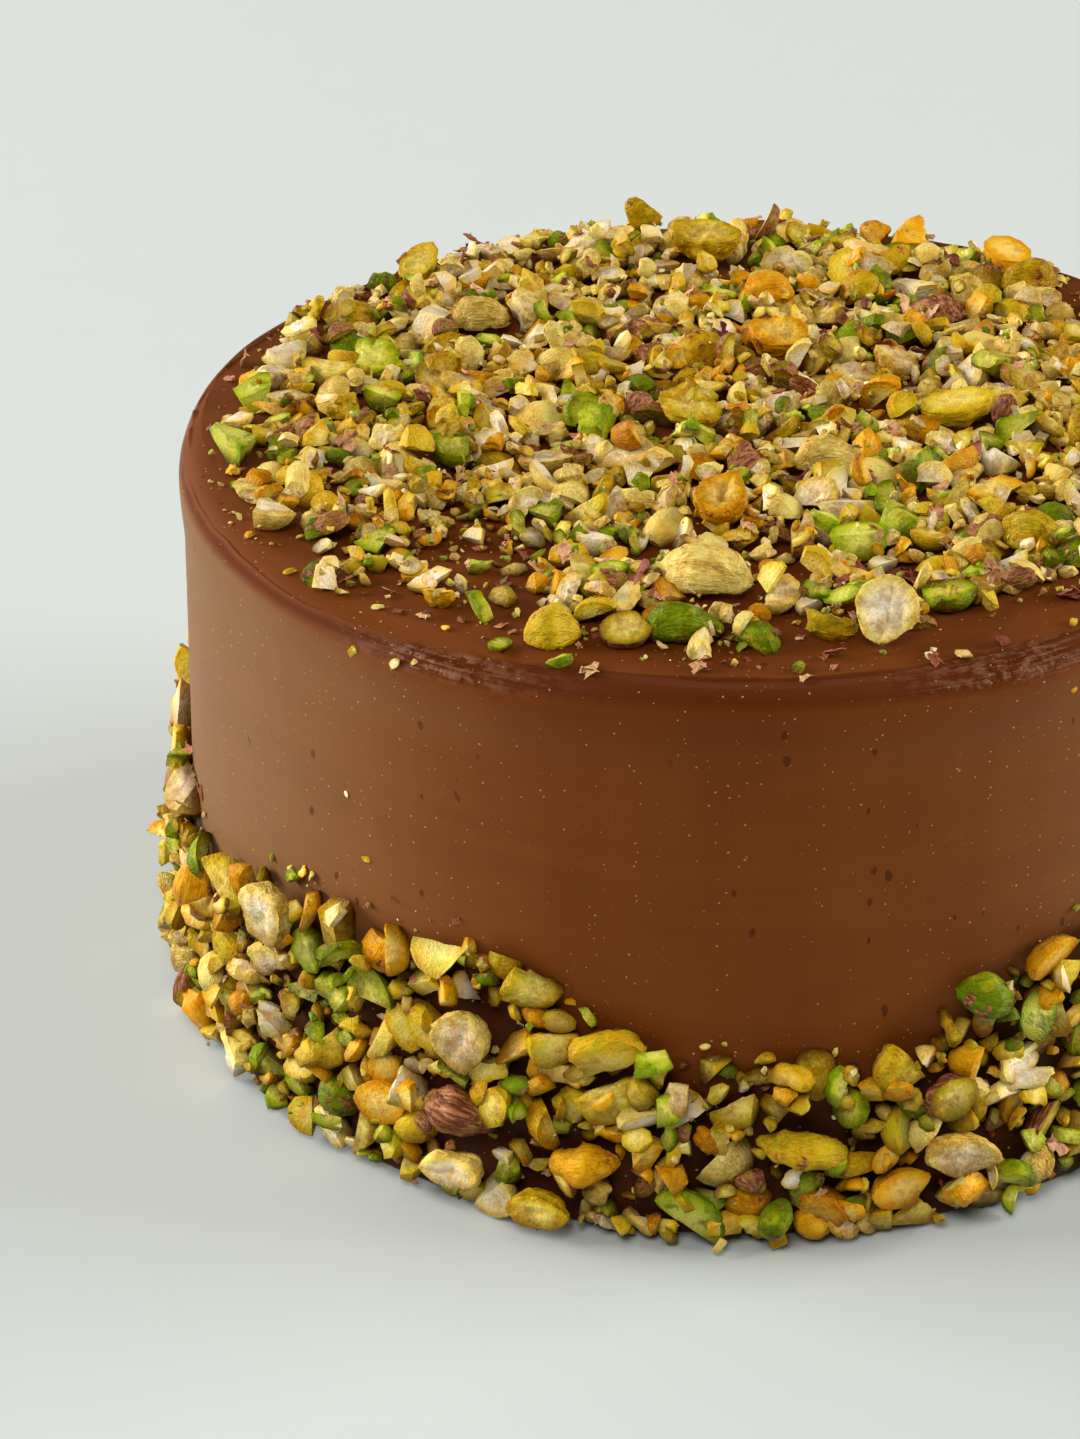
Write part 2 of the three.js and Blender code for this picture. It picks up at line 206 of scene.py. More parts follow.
# Pistachio halves: where each lies, its length, its kind and its tone
Half = namedtuple("Half", "across along length kind tone")
TOP_HALVES = (
    Half(-4, -62, 17, "pale", 0.35),
    Half(-8, -79, 14.5, "green", 0.6),
    Half(26, -78, 13, "pale", 0.05),
    Half(-2, -40, 11, "golden", 0.15),
    Half(17, -16, 13, "pale", 0.6),
    Half(40, 1, 15, "olive", 0.4),
    Half(8, 30, 12, "golden", 0.3),
    Half(6, 56, 11, "golden", 0.8),
    Half(-6, 73, 14, "olive", 0.15),
    Half(56, 64, 12, "olive", 0.7),
    Half(52, -45, 12, "olive", 0.05),
    Half(-8, -1, 13, "olive", 0.3),
    Half(-48, 42, 12, "pale", 0.0),
    Half(-30, -81, 11, "olive", 0.1),
)
SIDE_HALVES = (
    Half(-26, 20, 15, "skinned", 0.2),
    Half(-26, 10, 12, "pale", 0.8),
    Half(-17, 6, 12, "olive", 0.6),
    Half(-49, 46, 13, "pale", 0.3),
    Half(-25, 37, 12, "pale", 0.55),
    Half(8, 20, 17, "olive", 0.35),
    Half(26, 46, 12, "green", 0.95),
    Half(23, 17, 15, "pale", 0.7),
    Half(-13, 15, 13, "golden", 0.1),
    Half(22, 29, 10, "skinned", 0.6),
    Half(-68, 33, 12, "golden", 0.4),
    Half(62, 24, 14, "olive", 0.5),
    Half(92, 38, 13, "pale", 0.4),
    Half(124, 15, 15, "green", 0.4),
    Half(158, 34, 12, "golden", 0.3),
    Half(-162, 18, 16, "olive", 0.2),
    Half(-128, 36, 13, "pale", 0.6),
    Half(-98, 13, 14, "skinned", 0.5),
)

KINDS = ("pale", "olive", "green", "golden", "skinned")


def linear(red, green, blue):
    """A colour given in screen values from 0 to 255, as the linear values that shaders take."""
    shares = (red / 255, green / 255, blue / 255)
    return tuple(s / 12.92 if s <= 0.04045 else ((s + 0.055) / 1.055) ** 2.4 for s in shares)


def clamped(value):
    return max(0.0, min(1.0, value))


def part_way(value, start, run):
    """How far a value is along a run from its start, from 0 to 1."""
    return clamped((value - start) / run)


def bell(distance, width):
    """1 in the middle of a bell curve, falling away over its width."""
    return math.exp(-((distance / width) ** 2))


# Settings


def colour_property(name, description, screen_colour):
    return bpy.props.FloatVectorProperty(
        name=name,
        description=description,
        subtype="COLOR",
        size=3,
        min=0.0,
        max=1.0,
        default=linear(*screen_colour),
    )


def number_property(name, description, default, unit="LENGTH"):
    return bpy.props.FloatProperty(name=name, description=description, default=default, unit=unit)


class FrostingSettings(bpy.types.PropertyGroup):
    """Sizes and colours of the chocolate frosting"""

    colour: colour_property("Colour", "Chocolate of the smooth side", (117, 61, 17))
    deep_colour: colour_property("Deep colour", "Darker chocolate in its blotches", (104, 50, 10))
    # The shoulder colour is painted shade, laid by the band over the shoulder, the top of the wall and the
    # bare top
    shoulder_colour: colour_property("Shoulder colour", "Redder chocolate of the shoulder", (75, 27, 2))
    speck_colour: colour_property("Speck colour", "Fine pale specks on the frosting", (224, 180, 130))
    ridge: number_property("Ridge", "Height of the shoulder's crease", 0.95 * MM)
    tear: number_property("Tear", "Depth of the torn stretches of the shoulder", 0.9 * MM)


class NutSettings(bpy.types.PropertyGroup):
    """Sizes and colours of the pistachios"""

    wrinkle: number_property("Wrinkle", "Depth of the wrinkles on a half", 0.42 * MM)
    skin_red: colour_property("Red skin", "Papery red skin", (100, 52, 34))
    skin_tan: colour_property("Tan skin", "Papery tan skin", (190, 126, 90))


class StageSettings(bpy.types.PropertyGroup):
    """Floor, lights and camera"""

    floor_colour: colour_property("Floor colour", "Pale studio floor", (193, 201, 204))
    lens: number_property("Lens", "Focal length of the camera, in millimetres", 134.8, "NONE")
    distance: number_property("Distance", "How far the camera stands in front of the cake", 0.8837)
    height: number_property("Height", "How high the camera stands", 0.5272)
    pitch: number_property("Pitch", "How far the camera looks down", math.radians(28.47), "ROTATION")
    yaw: number_property("Yaw", "How far the camera looks to the left", math.radians(2.28), "ROTATION")


# Outlines round the cake


def ripple(angle, waves):
    """Sum of some waves round the cake, with the angle in radians from the front."""
    return sum(depth * math.sin(count * angle + math.radians(phase)) for depth, count, phase in waves)


def hump(angle, middle, half_width):
    """A smooth hump of height 1 at an angle, falling away over its half width, both in degrees."""
    away = (math.degrees(angle) - middle + 180) % 360 - 180
    return bell(away, half_width)


def topping_reach(angle):
    middle, half_width, depth = FRONT_HOLLOW
    return TOPPING_REACH + ripple(angle, TOPPING_RIPPLES) - depth * hump(angle, middle, half_width)


def border_top(angle):
    middle, half_width, depth = BORDER_DIP
    return BORDER_HEIGHT + ripple(angle, BORDER_RIPPLES) - depth * hump(angle, middle, half_width)


def shoulder_height(radius):
    """Height of the frosting at a radius, or at an array of them: level, and rounded at the shoulder."""
    inward = np.clip((LIP_RADIUS - radius) / SHOULDER_WIDTH, 0, 1)
    rounded = (1 - (1 - inward) ** SHOULDER_ROUNDING) ** (1 / SHOULDER_ROUNDING)
    return CAKE_HEIGHT - SHOULDER_DEPTH * (1 - rounded)


# Layout of the nuts

Nut = namedtuple("Nut", "side across along size turn seat kind tone shape")


def seeded_draw(seed):
    """Repeatable draws between 0 and 1, in the same order as the solids make them."""
    low_bits = DRAW_STEPS - 1
    state = seed & low_bits

    def draw():
        nonlocal state
        state = (state + 0x6D2B79F5) & low_bits
        mixed = ((state ^ (state >> 15)) * (state | 1)) & low_bits
        mixed ^= (mixed + ((mixed ^ (mixed >> 7)) * (mixed | 61))) & low_bits
        return (mixed ^ (mixed >> 14)) / DRAW_STEPS

    return draw


def outline_share(draw, power):
    """Share of the way to a heap's outline: often the outline itself, else spread evenly by a power."""
    at_edge = draw() < EDGE_SHARE
    inside = draw() ** power
    return 1 if at_edge else inside


def top_spot(draw):
    angle = 2 * math.pi * draw()
    radius = (topping_reach(angle) - OUTLINE_MARGIN) * outline_share(draw, 0.5)
    return radius * math.sin(angle), -radius * math.cos(angle)


def side_spot(draw):
    angle = 2 * math.pi * draw() - math.pi
    height = OUTLINE_MARGIN + (border_top(angle) - 2 * OUTLINE_MARGIN) * outline_share(draw, 1)
    return CAKE_RADIUS * angle, height


def top_apart(one, other):
    return math.hypot(one[0] - other[0], one[1] - other[1])


def side_apart(one, other):
    round_way = 2 * math.pi * CAKE_RADIUS
    way = abs(one[0] - other[0]) % round_way
    return math.hypot(min(way, round_way - way), one[1] - other[1])


def top_fits(length, across, along):
    x, y, radius, largest = FINE_PATCH
    return length <= largest or math.hypot(across - x, along - y) > radius


def side_fits(length, across, along):
    return True


def top_cover(across, along, spill):
    """How likely the top is to hold small things at a place: less at the outline and in bare patches."""
    angle = math.atan2(across, -along)
    share = math.hypot(across, along) / topping_reach(angle)
    edge = part_way(TOPPING_OVER + spill, share, TOPPING_FADE)
    front = part_way(-along, BARE_FROM, BARE_RUN)
    patch = noise.noise(Vector((across / BARE_WIDE, along / BARE_DEEP, BARE_SEED)))
    bare = part_way(patch, *BARE_EDGE)
    return edge * (1 - (BARE_SHARE - BARE_SPILL * spill) * front * bare)


def side_cover(across, along, spill):
    """How likely the side is to hold small things at a place: less at the border's outline."""
    share = along / border_top(across / CAKE_RADIUS)
    return part_way(BORDER_OVER + spill, share, BORDER_FADE)


# The heaps on the top and round the foot: the seed, the tilt and the lengths with counts of the nuts that
# the solid holds, the share of each kind, how high small nuts pile, how many crumbs and skins there are,
# what strays from it, its halves, and the rules for its places
Heap = namedtuple(
    "Heap", "seed tilt sizes shares tallest crumbs flakes strays stray_flakes halves spot apart fits cover"
)
HEAPS = {
    False: Heap(
        seed=4127,
        tilt=18,
        sizes=((11, 30), (9, 56), (7, 62)),
        shares=(0.43, 0.2, 0.13, 0.12, 0.12),
        tallest=9.5,
        crumbs=1700,
        flakes=420,
        strays=SHOULDER_STRAYS,
        stray_flakes=STRAY_FLAKES,
        halves=TOP_HALVES,
        spot=top_spot,
        apart=top_apart,
        fits=top_fits,
        cover=top_cover,
    ),
    True: Heap(
        seed=9043,
        tilt=12,
        sizes=((12.5, 26), (10.5, 56), (8.5, 68)),
        shares=(0.17, 0.37, 0.2, 0.17, 0.09),
        tallest=8.5,
        crumbs=600,
        flakes=90,
        strays=SIDE_STRAYS,
        stray_flakes=(),
        halves=SIDE_HALVES,
        spot=side_spot,
        apart=side_apart,
        fits=side_fits,
        cover=side_cover,
    ),
}


def surface_place(side, item):
    """Where a half or a stray lies on its surface: the side's are given by an angle in degrees."""
    return CAKE_RADIUS * math.radians(item.across) if side else item.across, item.along


def turned(heading, pitch, roll):
    """A turn by angles in degrees: roll about the length, then pitch, then heading."""
    about_z = Matrix.Rotation(math.radians(heading), 3, "Z")
    about_y = Matrix.Rotation(math.radians(pitch), 3, "Y")
    about_x = Matrix.Rotation(math.radians(roll), 3, "X")
    return np.array(about_z @ about_y @ about_x)


def picked_kind(share, shares):
    """The kind that a draw between 0 and 1 falls on."""
    for kind, part in zip(KINDS, shares):
        share -= part
        if share < 0:
            return kind
    return KINDS[0]


def solid_nuts(side):
    """The chopped nuts of one heap that its solid holds, in the solid's places."""
    heap = HEAPS[side]
    draw = seeded_draw(heap.seed)
    finish = random.Random(heap.seed)
    taken = [(surface_place(side, half), half.length * HALF_ROOM) for half in heap.halves]
    nuts = []
    for length, count in heap.sizes:
        placed = 0
        for _ in range(count * TRIES):
            if placed == count:
                break
            place = heap.spot(draw)
            clear = all(heap.apart(place, other) > 0.5 * PACKING * (length + long) for other, long in taken)
            if not clear or not heap.fits(length, *place):
                continue
            size = tuple(length * (least + more * draw()) for least, more in SOLID_SHAPE)
            heading = 360 * draw()
            pitch = heap.tilt * (2 * draw() - 1)
            roll = heap.tilt * (2 * draw() - 1)
            turn = turned(heading, pitch, roll)
            seat = SEAT_LEAST + (SEAT_MOST - SEAT_LEAST) * draw()
            shape = math.floor(DRAW_STEPS * draw())
            kind = picked_kind(finish.random(), heap.shares)
            nuts.append(Nut(side, *place, size, turn, seat, kind, finish.random(), shape))
            taken.append((place, length))
            placed += 1
    return nuts


class Bed:
    """Heights over the frosting of the nuts laid so far on one surface, on a fine grid."""

    STEP = 0.5
    # Share of the ground under a nut that lies below its seat, how much of the ground's slope it takes on
    # and how steep it gets, and the share of its height by which it raises the heap
    SEAT_SHARE = 0.62
    LEAN_SHARE = 0.8
    STEEPEST = 0.55
    RAISED_SHARE = 0.9

    def __init__(self, side):
        self.side = side
        half_round = math.pi * CAKE_RADIUS
        self.low = (-half_round, 0.0) if side else (-CAKE_RADIUS, -CAKE_RADIUS)
        wide = 2 * half_round if side else 2 * CAKE_RADIUS
        tall = CAKE_HEIGHT if side else 2 * CAKE_RADIUS
        self.shape = (int(wide / self.STEP), int(tall / self.STEP))
        self.heights = np.zeros(self.shape)
        if not side:
            across, along = (self.middles(axis, np.arange(self.shape[axis])) for axis in (0, 1))
            self.heights = shoulder_height(np.hypot(across[:, None], along[None, :])) - CAKE_HEIGHT

    def middles(self, axis, cells):
        """Where the middles of some cells lie along one axis."""
        return (cells + 0.5) * self.STEP + self.low[axis]

    def reached(self, axis, place, reach):
        """The cells within reach of a place along one axis, on the grid or on round the cake."""
        first = math.floor((place - reach - self.low[axis]) / self.STEP)
        last = math.ceil((place + reach - self.low[axis]) / self.STEP)
        cells = np.arange(first, last + 1)
        if self.side and axis == 0:
            return cells
        return cells[(cells >= 0) & (cells < self.shape[axis])]

    def under(self, across, along, reach):
        """The cells within reach of a place, and how far each is from it."""
        rows = self.reached(0, across, reach)
        columns = self.reached(1, along, reach)
        away_across = self.middles(0, rows) - across
        away_along = self.middles(1, columns) - along
        return np.ix_(rows % self.shape[0], columns), away_across[:, None], away_along[None, :]

    def footprint(self, across, along, size, heading):
        """The cells under a nut, how far each is from its middle, and how thick the nut is over it."""
        length, width, height = size
        cells, away_across, away_along = self.under(across, along, 0.5 * max(length, width))
        cosine = math.cos(heading)
        sine = math.sin(heading)
        lengthways = (away_across * cosine + away_along * sine) / (0.5 * length)
        sideways = (away_along * cosine - away_across * sine) / (0.5 * width)
        rim = np.clip(1 - lengthways**2 - sideways**2, 0, 1)
        return cells, away_across, away_along, height * np.sqrt(rim)

    def raise_by(self, cells, thickness, floor):
        covered = np.where(thickness > 0, floor + thickness, -np.inf)
        self.heights[cells] = np.maximum(self.heights[cells], covered)

    def ground(self, across, along, reach):
        """Mean height of what lies within reach of a place."""
        cells, _, _ = self.under(across, along, reach)
        return float(self.heights[cells].mean())

    def settle(self, across, along, size, heading):
        """Where a nut comes to rest here: its seat, and how the heap slopes under it."""
        cells, away_across, away_along, thickness = self.footprint(across, along, size, heading)
        inside = thickness > 0
        if not inside.any():
            return self.ground(across, along, self.STEP), (0, 0)
        ground = self.heights[cells]
        seat = float(np.quantile(ground[inside], self.SEAT_SHARE))
        slopes = []
        for away in (away_across, away_along):
            distance = np.broadcast_to(away, ground.shape)[inside]
            spread = float((distance**2).mean())
            slope = float((distance * (ground[inside] - ground[inside].mean())).mean() / max(spread, 0.01))
            slopes.append(max(-self.STEEPEST, min(self.STEEPEST, self.LEAN_SHARE * slope)))
        lift = slopes[0] * away_across + slopes[1] * away_along
        self.raise_by(cells, np.where(inside, self.RAISED_SHARE * thickness + 0.01, 0), seat + lift)
        return seat, slopes


def leaned(slopes):
    """A turn that lays a level nut along a slope."""
    upright = Vector((-slopes[0], -slopes[1], 1)).normalized()
    return np.array(Vector((0, 0, 1)).rotation_difference(upright).to_matrix())


def filling_place(side, draw, spill):
    """A place anywhere within a heap's outline, or just over it."""
    angle = draw.uniform(-math.pi, math.pi)
    if side:
        return CAKE_RADIUS * angle, draw.uniform(1.5, (BORDER_OVER + spill) * border_top(angle))
    radius = min((TOPPING_OVER + spill) * topping_reach(angle), CREASE_RADIUS) * math.sqrt(draw.random())
    return radius * math.sin(angle), -radius * math.cos(angle)


def lowest_place(bed, draw, length, choices, spill):
    """The lowest of a few places that small things cover, as a nut rolls into a gap."""
    heap = HEAPS[bed.side]
    places = [filling_place(bed.side, draw, spill) for _ in range(choices)]
    room = length + FINE_ROOM
    places = [p for p in places if draw.random() < heap.cover(*p, spill) and heap.fits(room, *p)]
    return min(places, key=lambda place: bed.ground(*place, FOOT_SHARE * length), default=None)


def rested(bed, draw, place, size, tilt, kind):
    """A nut or crumb laid on a bed, on what lies there already."""
    heading = draw.uniform(0, 360)
    lean = turned(heading, draw.gauss(0, tilt), draw.gauss(0, tilt))
    tone = draw.random()
    shape = draw.getrandbits(32)
    seat, slopes = bed.settle(*place, size, math.radians(heading))
    seat -= SUNK_SHARE * size[2]
    return Nut(bed.side, *place, size, leaned(slopes) @ lean, seat, kind, tone, shape)


def filling_nuts(bed):
    """The smaller chopped nuts that fill in a heap, each resting on what lies there already."""
    draw = random.Random(FILLING_SEED + bed.side)
    heap = HEAPS[bed.side]
    nuts = []
    for length, *counts in FILLING_SIZES:
        for _ in range(counts[bed.side]):
            place = lowest_place(bed, draw, length, FILLING_CHOICES, 0.0)
            size = tuple(length * draw.uniform(*shares) for shares in FILLING_SHAPE)
            kind = picked_kind(draw.random(), heap.shares)
            if place and bed.ground(*place, FOOT_SHARE * length) + PILED_SHARE * size[2] < heap.tallest:
                nuts.append(rested(bed, draw, place, size, FILLING_TILT, kind))
    return nuts


def strayed(bed, strays, seed, shape, tilt):
    """Bits by themselves, each where it fell, with its width and height drawn as shares of its length."""
    draw = random.Random(seed)
    bits = []
    for stray in strays:
        size = (stray.length, *(stray.length * draw.uniform(*shares) for shares in shape))
        bits.append(rested(bed, draw, surface_place(bed.side, stray), size, tilt, stray.kind))
    return bits


def strewn(bed, small, count):
    """Small things strewn over a heap, many of them short and few long."""
    draw = random.Random(small.seed + bed.side)
    bits = []
    for _ in range(count):
        length = small.least + (small.most - small.least) * draw.random() ** 2
        place = lowest_place(bed, draw, length, STREWN_CHOICES, STREWN_SPILL)
        if place:
            width = length * draw.uniform(*STREWN_WIDTHS)
            height = length * small.flatness * draw.uniform(*STREWN_HEIGHTS)
            bits.append(rested(bed, draw, place, (length, width, height), STREWN_TILT, None))
    return bits


@functools.cache
def laid(side):
    """All chopped nuts, flakes and crumbs of one heap, laid in that order."""
    heap = HEAPS[side]
    bed = Bed(side)
    for half in heap.halves:
        size = (half.length, HALF_WIDTH * half.length, HALF_HEIGHT)
        cells, _, _, thickness = bed.footprint(*surface_place(side, half), size, 0.0)
        bed.raise_by(cells, thickness, 0.0)
    nuts = []
    for nut in solid_nuts(side):
        nut = nut._replace(seat=nut.seat - SEAT_LEAST - PRESSED_IN)
        heading = math.atan2(nut.turn[1][0], nut.turn[0][0])
        cells, _, _, thickness = bed.footprint(nut.across, nut.along, nut.size, heading)
        bed.raise_by(cells, SOLID_RAISED * thickness, nut.seat)
        nuts.append(nut)
    nuts += filling_nuts(bed)
    nuts += strayed(bed, heap.strays, FILLING_SEED, STRAY_SHAPE, STRAY_TILT)
    flakes = strewn(bed, FLAKES, heap.flakes)
    flakes += strayed(bed, heap.stray_flakes, FLAKES.seed, STRAY_FLAKE_SHAPE, STRAY_FLAKE_TILT)
    crumbs = strewn(bed, CRUMBS, heap.crumbs)
    return {"nuts": nuts, "flakes": flakes, "crumbs": crumbs}


def on_both(layer):
    """The chopped nuts, flakes or crumbs of the top and then of the side."""
    return laid(False)[layer] + laid(True)[layer]


def on_surface(side, across, along, points):
    """Points in a place's own frame, moved to the cake, in millimetres."""
    if not side:
        return points + np.array((across, along, CAKE_HEIGHT))
    angle = across / CAKE_RADIUS
    outward = np.array((math.sin(angle), -math.cos(angle), 0))
    sideways = np.array((math.cos(angle), math.sin(angle), 0))
    up = np.array((0, 0, 1.0))
    origin = CAKE_RADIUS * outward + along * up
    return origin + points @ np.array((sideways, up, outward))


def placed_points(nut, unit_points):
    """A unit nut's points at the nut's size, turn, seat and place, in millimetres."""
    points = (unit_points * nut.size) @ nut.turn.T
    points[:, 2] += nut.seat - points[:, 2].min()
    along = nut.along
    if nut.side:
        along = max(along, 2 * GAP - points[:, 1].min())
    return on_surface(nut.side, nut.across, along, points)


# Shade on the nuts: how far it reaches from the top and from the side, how light the top's nuts and the
# undersides of the side's are, and how far inside its heap's outline a nut lies in the shade
TOP_SHADE = 2.5
SIDE_SHADE = 4.2
TOP_LIGHT = 0.84
UNDERSIDE = 0.38
SHADE_MARGIN = 2


def smooth_share(values):
    """Values from 0 to 1, eased at both ends."""
    values = np.clip(values, 0, 1)
    return values * values * (3 - 2 * values)


def lift_shares(side, points):
    """How far a nut's points, in millimetres, stand out of the shade by the frosting and under the nut."""
    x, y, _ = points.mean(axis=0)
    angle = math.atan2(x, -y)
    low = points[:, 2].min()
    high = points[:, 2].max()
    if not side:
        if math.hypot(x, y) > topping_reach(angle) - SHADE_MARGIN:
            return np.full(len(points), TOP_LIGHT)
        return TOP_LIGHT * smooth_share((points[:, 2] - CAKE_HEIGHT) / TOP_SHADE)
    if low > border_top(angle) - SHADE_MARGIN:
        return np.ones(len(points))
    clear = smooth_share((np.hypot(points[:, 0], points[:, 1]) - CAKE_RADIUS) / SIDE_SHADE)
    upward = smooth_share((points[:, 2] - low) / (0.8 * (high - low)))
    return clear * (UNDERSIDE + (1 - UNDERSIDE) * upward)


# Modelling helpers


def deselect_all():
    if bpy.context.object and bpy.context.object.mode != "OBJECT":
        bpy.ops.object.mode_set(mode="OBJECT")
    bpy.ops.object.select_all(action="DESELECT")


def applied(obj, kind, **values):
    """Adds a modifier with these values and applies it."""
    modifier = obj.modifiers.new(kind.title(), kind)
    for key, value in values.items():
        setattr(modifier, key, value)
    bpy.context.view_layer.objects.active = obj
    bpy.ops.object.modifier_apply(modifier=modifier.name)


def mesh_arrays(obj):
    """A mesh's points and triangles as arrays."""
    mesh = obj.data
    mesh.calc_loop_triangles()
    points = np.empty(3 * len(mesh.vertices))
    mesh.vertices.foreach_get("co", points)
    corners = np.empty(3 * len(mesh.loop_triangles), dtype=np.int64)
    mesh.loop_triangles.foreach_get("vertices", corners)
    return points.reshape(-1, 3), corners.reshape(-1, 3)


def unit_shape():
    """The active object's points and triangles, centred and one unit long, wide and high; it is removed."""
    deselect_all()
    piece = bpy.context.object
    points, triangles = mesh_arrays(piece)
    bpy.data.meshes.remove(piece.data)
    low = points.min(axis=0)
    high = points.max(axis=0)
    return (points - (low + high) / 2) / (high - low), triangles


def marked(mesh, name, values):
    """Stores a number or a vector for each point of a mesh, for its material to read."""
    kind, field = ("FLOAT", "value") if values.ndim == 1 else ("FLOAT_VECTOR", "vector")
    attribute = mesh.attributes.new(name, kind, "POINT")
    attribute.data.foreach_set(field, values.ravel().astype(np.float32))


def joined_mesh(name, parts, crease):
    """One object from many parts: each has points in millimetres, triangles, and marks on its points."""
    starts = np.cumsum([0] + [len(points) for points, _, _ in parts])
    points = np.concatenate([points for points, _, _ in parts]) * MM
    corners = np.concatenate([triangles + start for (_, triangles, _), start in zip(parts, starts)])
    mesh = bpy.data.meshes.new(name)
    mesh.vertices.add(len(points))
    mesh.vertices.foreach_set("co", points.ravel())
    mesh.loops.add(corners.size)
    mesh.loops.foreach_set("vertex_index", corners.ravel())
    mesh.polygons.add(len(corners))
    mesh.polygons.foreach_set("loop_start", np.arange(0, corners.size, 3))
    mesh.polygons.foreach_set("use_smooth", np.ones(len(corners), dtype=bool))
    mesh.update(calc_edges=True)
    mesh.validate()
    for mark in parts[0][2]:
        marked(mesh, mark, np.concatenate([marks[mark] for _, _, marks in parts]))
    mesh.set_sharp_from_angle(angle=math.radians(crease))
    obj = bpy.data.objects.new(name, mesh)
    bpy.context.scene.collection.objects.link(obj)
    return obj


def finished(obj, material, slot, *nodes):
    """Gives a piece its material and ties it to the cake."""
    obj.data.materials.clear()
    obj.data.materials.append(material)
    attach(obj, "root")
    if nodes:
        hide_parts(*nodes)
    return obj


# Node helpers


class Nodes:
    """Short ways to add and link nodes in one tree."""

    def __init__(self, tree):
        self.tree = tree

    def fill(self, node, values):
        """Links or sets a node's inputs, by their names or numbers."""
        for key, value in values.items():
            if isinstance(value, bpy.types.NodeSocket):
                self.tree.links.new(value, node.inputs[key])
            else:
                node.inputs[key].default_value = value
        return node

    def add(self, kind, values=None, **settings):
        node = self.tree.nodes.new(kind)
        for key, value in settings.items():
            setattr(node, key, value)
        return self.fill(node, values or {})

    def place(self):
        return self.add("ShaderNodeTexCoord").outputs["Object"]

    def attribute(self, name, output="Fac"):
        return self.add("ShaderNodeAttribute", attribute_name=name).outputs[output]

    def group(self, tree, values):
        return self.add("ShaderNodeGroup", values, node_tree=tree).outputs

    def math(self, operation, first, second=0.0, clamp=False):
        node = self.add("ShaderNodeMath", {0: first, 1: second}, operation=operation, use_clamp=clamp)
        return node.outputs[0]

    def times(self, first, second):
        return self.math("MULTIPLY", first, second)

    def plus(self, first, second):
        return self.math("ADD", first, second)

    def weighted(self, *terms):
        """The sum of some values, each times its weight."""
        return functools.reduce(self.plus, [self.times(value, weight) for value, weight in terms])

    def from_half(self, value):
        """How far a value is from a half, either way."""
        return self.math("ABSOLUTE", self.math("SUBTRACT", value, 0.5))

    def between(self, share, first, second):
        """A number between two others."""
        return self.add("ShaderNodeMix", {0: share, 2: first, 3: second}).outputs[0]

    def vector(self, operation, first, second=(0.0, 0.0, 0.0)):
        node = self.add("ShaderNodeVectorMath", {0: first, 1: second}, operation=operation)
        return node.outputs["Value" if operation == "LENGTH" else "Vector"]

    def combined(self, x, y, z=0.0):
        return self.add("ShaderNodeCombineXYZ", {"X": x, "Y": y, "Z": z}).outputs[0]

    def separate(self, vector):
        return self.add("ShaderNodeSeparateXYZ", {"Vector": vector}).outputs

    def stretched(self, place, scale):
        return self.add("ShaderNodeMapping", {"Vector": place, "Scale": scale}).outputs["Vector"]

    def spread(self, value, low, high, to_low=0.0, to_high=1.0):
        """A value stretched smoothly from one range to another."""
        node = self.add(
            "ShaderNodeMapRange",
            {"Value": value, "From Min": low, "From Max": high, "To Min": to_low, "To Max": to_high},
            interpolation_type="SMOOTHSTEP",
        )
        return node.outputs["Result"]

    def clouds(self, place, scale, detail=3.0, roughness=0.55):
        values = {"Vector": place, "Scale": scale, "Detail": detail, "Roughness": roughness}
        return self.add("ShaderNodeTexNoise", values).outputs["Fac"]

    def mix(self, share, first, second, blend="MIX"):
        values = {0: share}
        for key, colour in ((6, first), (7, second)):
            values[key] = colour if isinstance(colour, bpy.types.NodeSocket) else (*colour, 1.0)
        return self.add("ShaderNodeMix", values, data_type="RGBA", blend_type=blend).outputs[2]

    def ramp(self, share, stops):
        node = self.add("ShaderNodeValToRGB", {"Fac": share})
        elements = node.color_ramp.elements
        for index, (place, colour) in enumerate(stops):
            element = elements[index] if index < 2 else elements.new(place)
            element.position = place
            element.color = (*colour, 1.0)
        return node.outputs["Color"]

    def bump(self, height, strength, distance):
        node = self.add("ShaderNodeBump", {"Height": height, "Strength": strength, "Distance": distance})
        return node.outputs["Normal"]


def new_group(name, inputs, outputs):
    """A shader node group with these float inputs and outputs, what it is given, and its output node."""
    tree = bpy.data.node_groups.new(name, "ShaderNodeTree")
    for key, value in inputs.items():
        socket = tree.interface.new_socket(key, in_out="INPUT", socket_type="NodeSocketFloat")
        socket.default_value = value
    for key in outputs:
        tree.interface.new_socket(key, in_out="OUTPUT", socket_type="NodeSocketFloat")
    nodes = Nodes(tree)
    return tree, nodes, nodes.add("NodeGroupInput").outputs, nodes.add("NodeGroupOutput")


def new_material(name):
    material = bpy.data.materials.new(name)
    material.use_nodes = True
    nodes = Nodes(material.node_tree)
    return material, nodes, material.node_tree.nodes["Principled BSDF"]


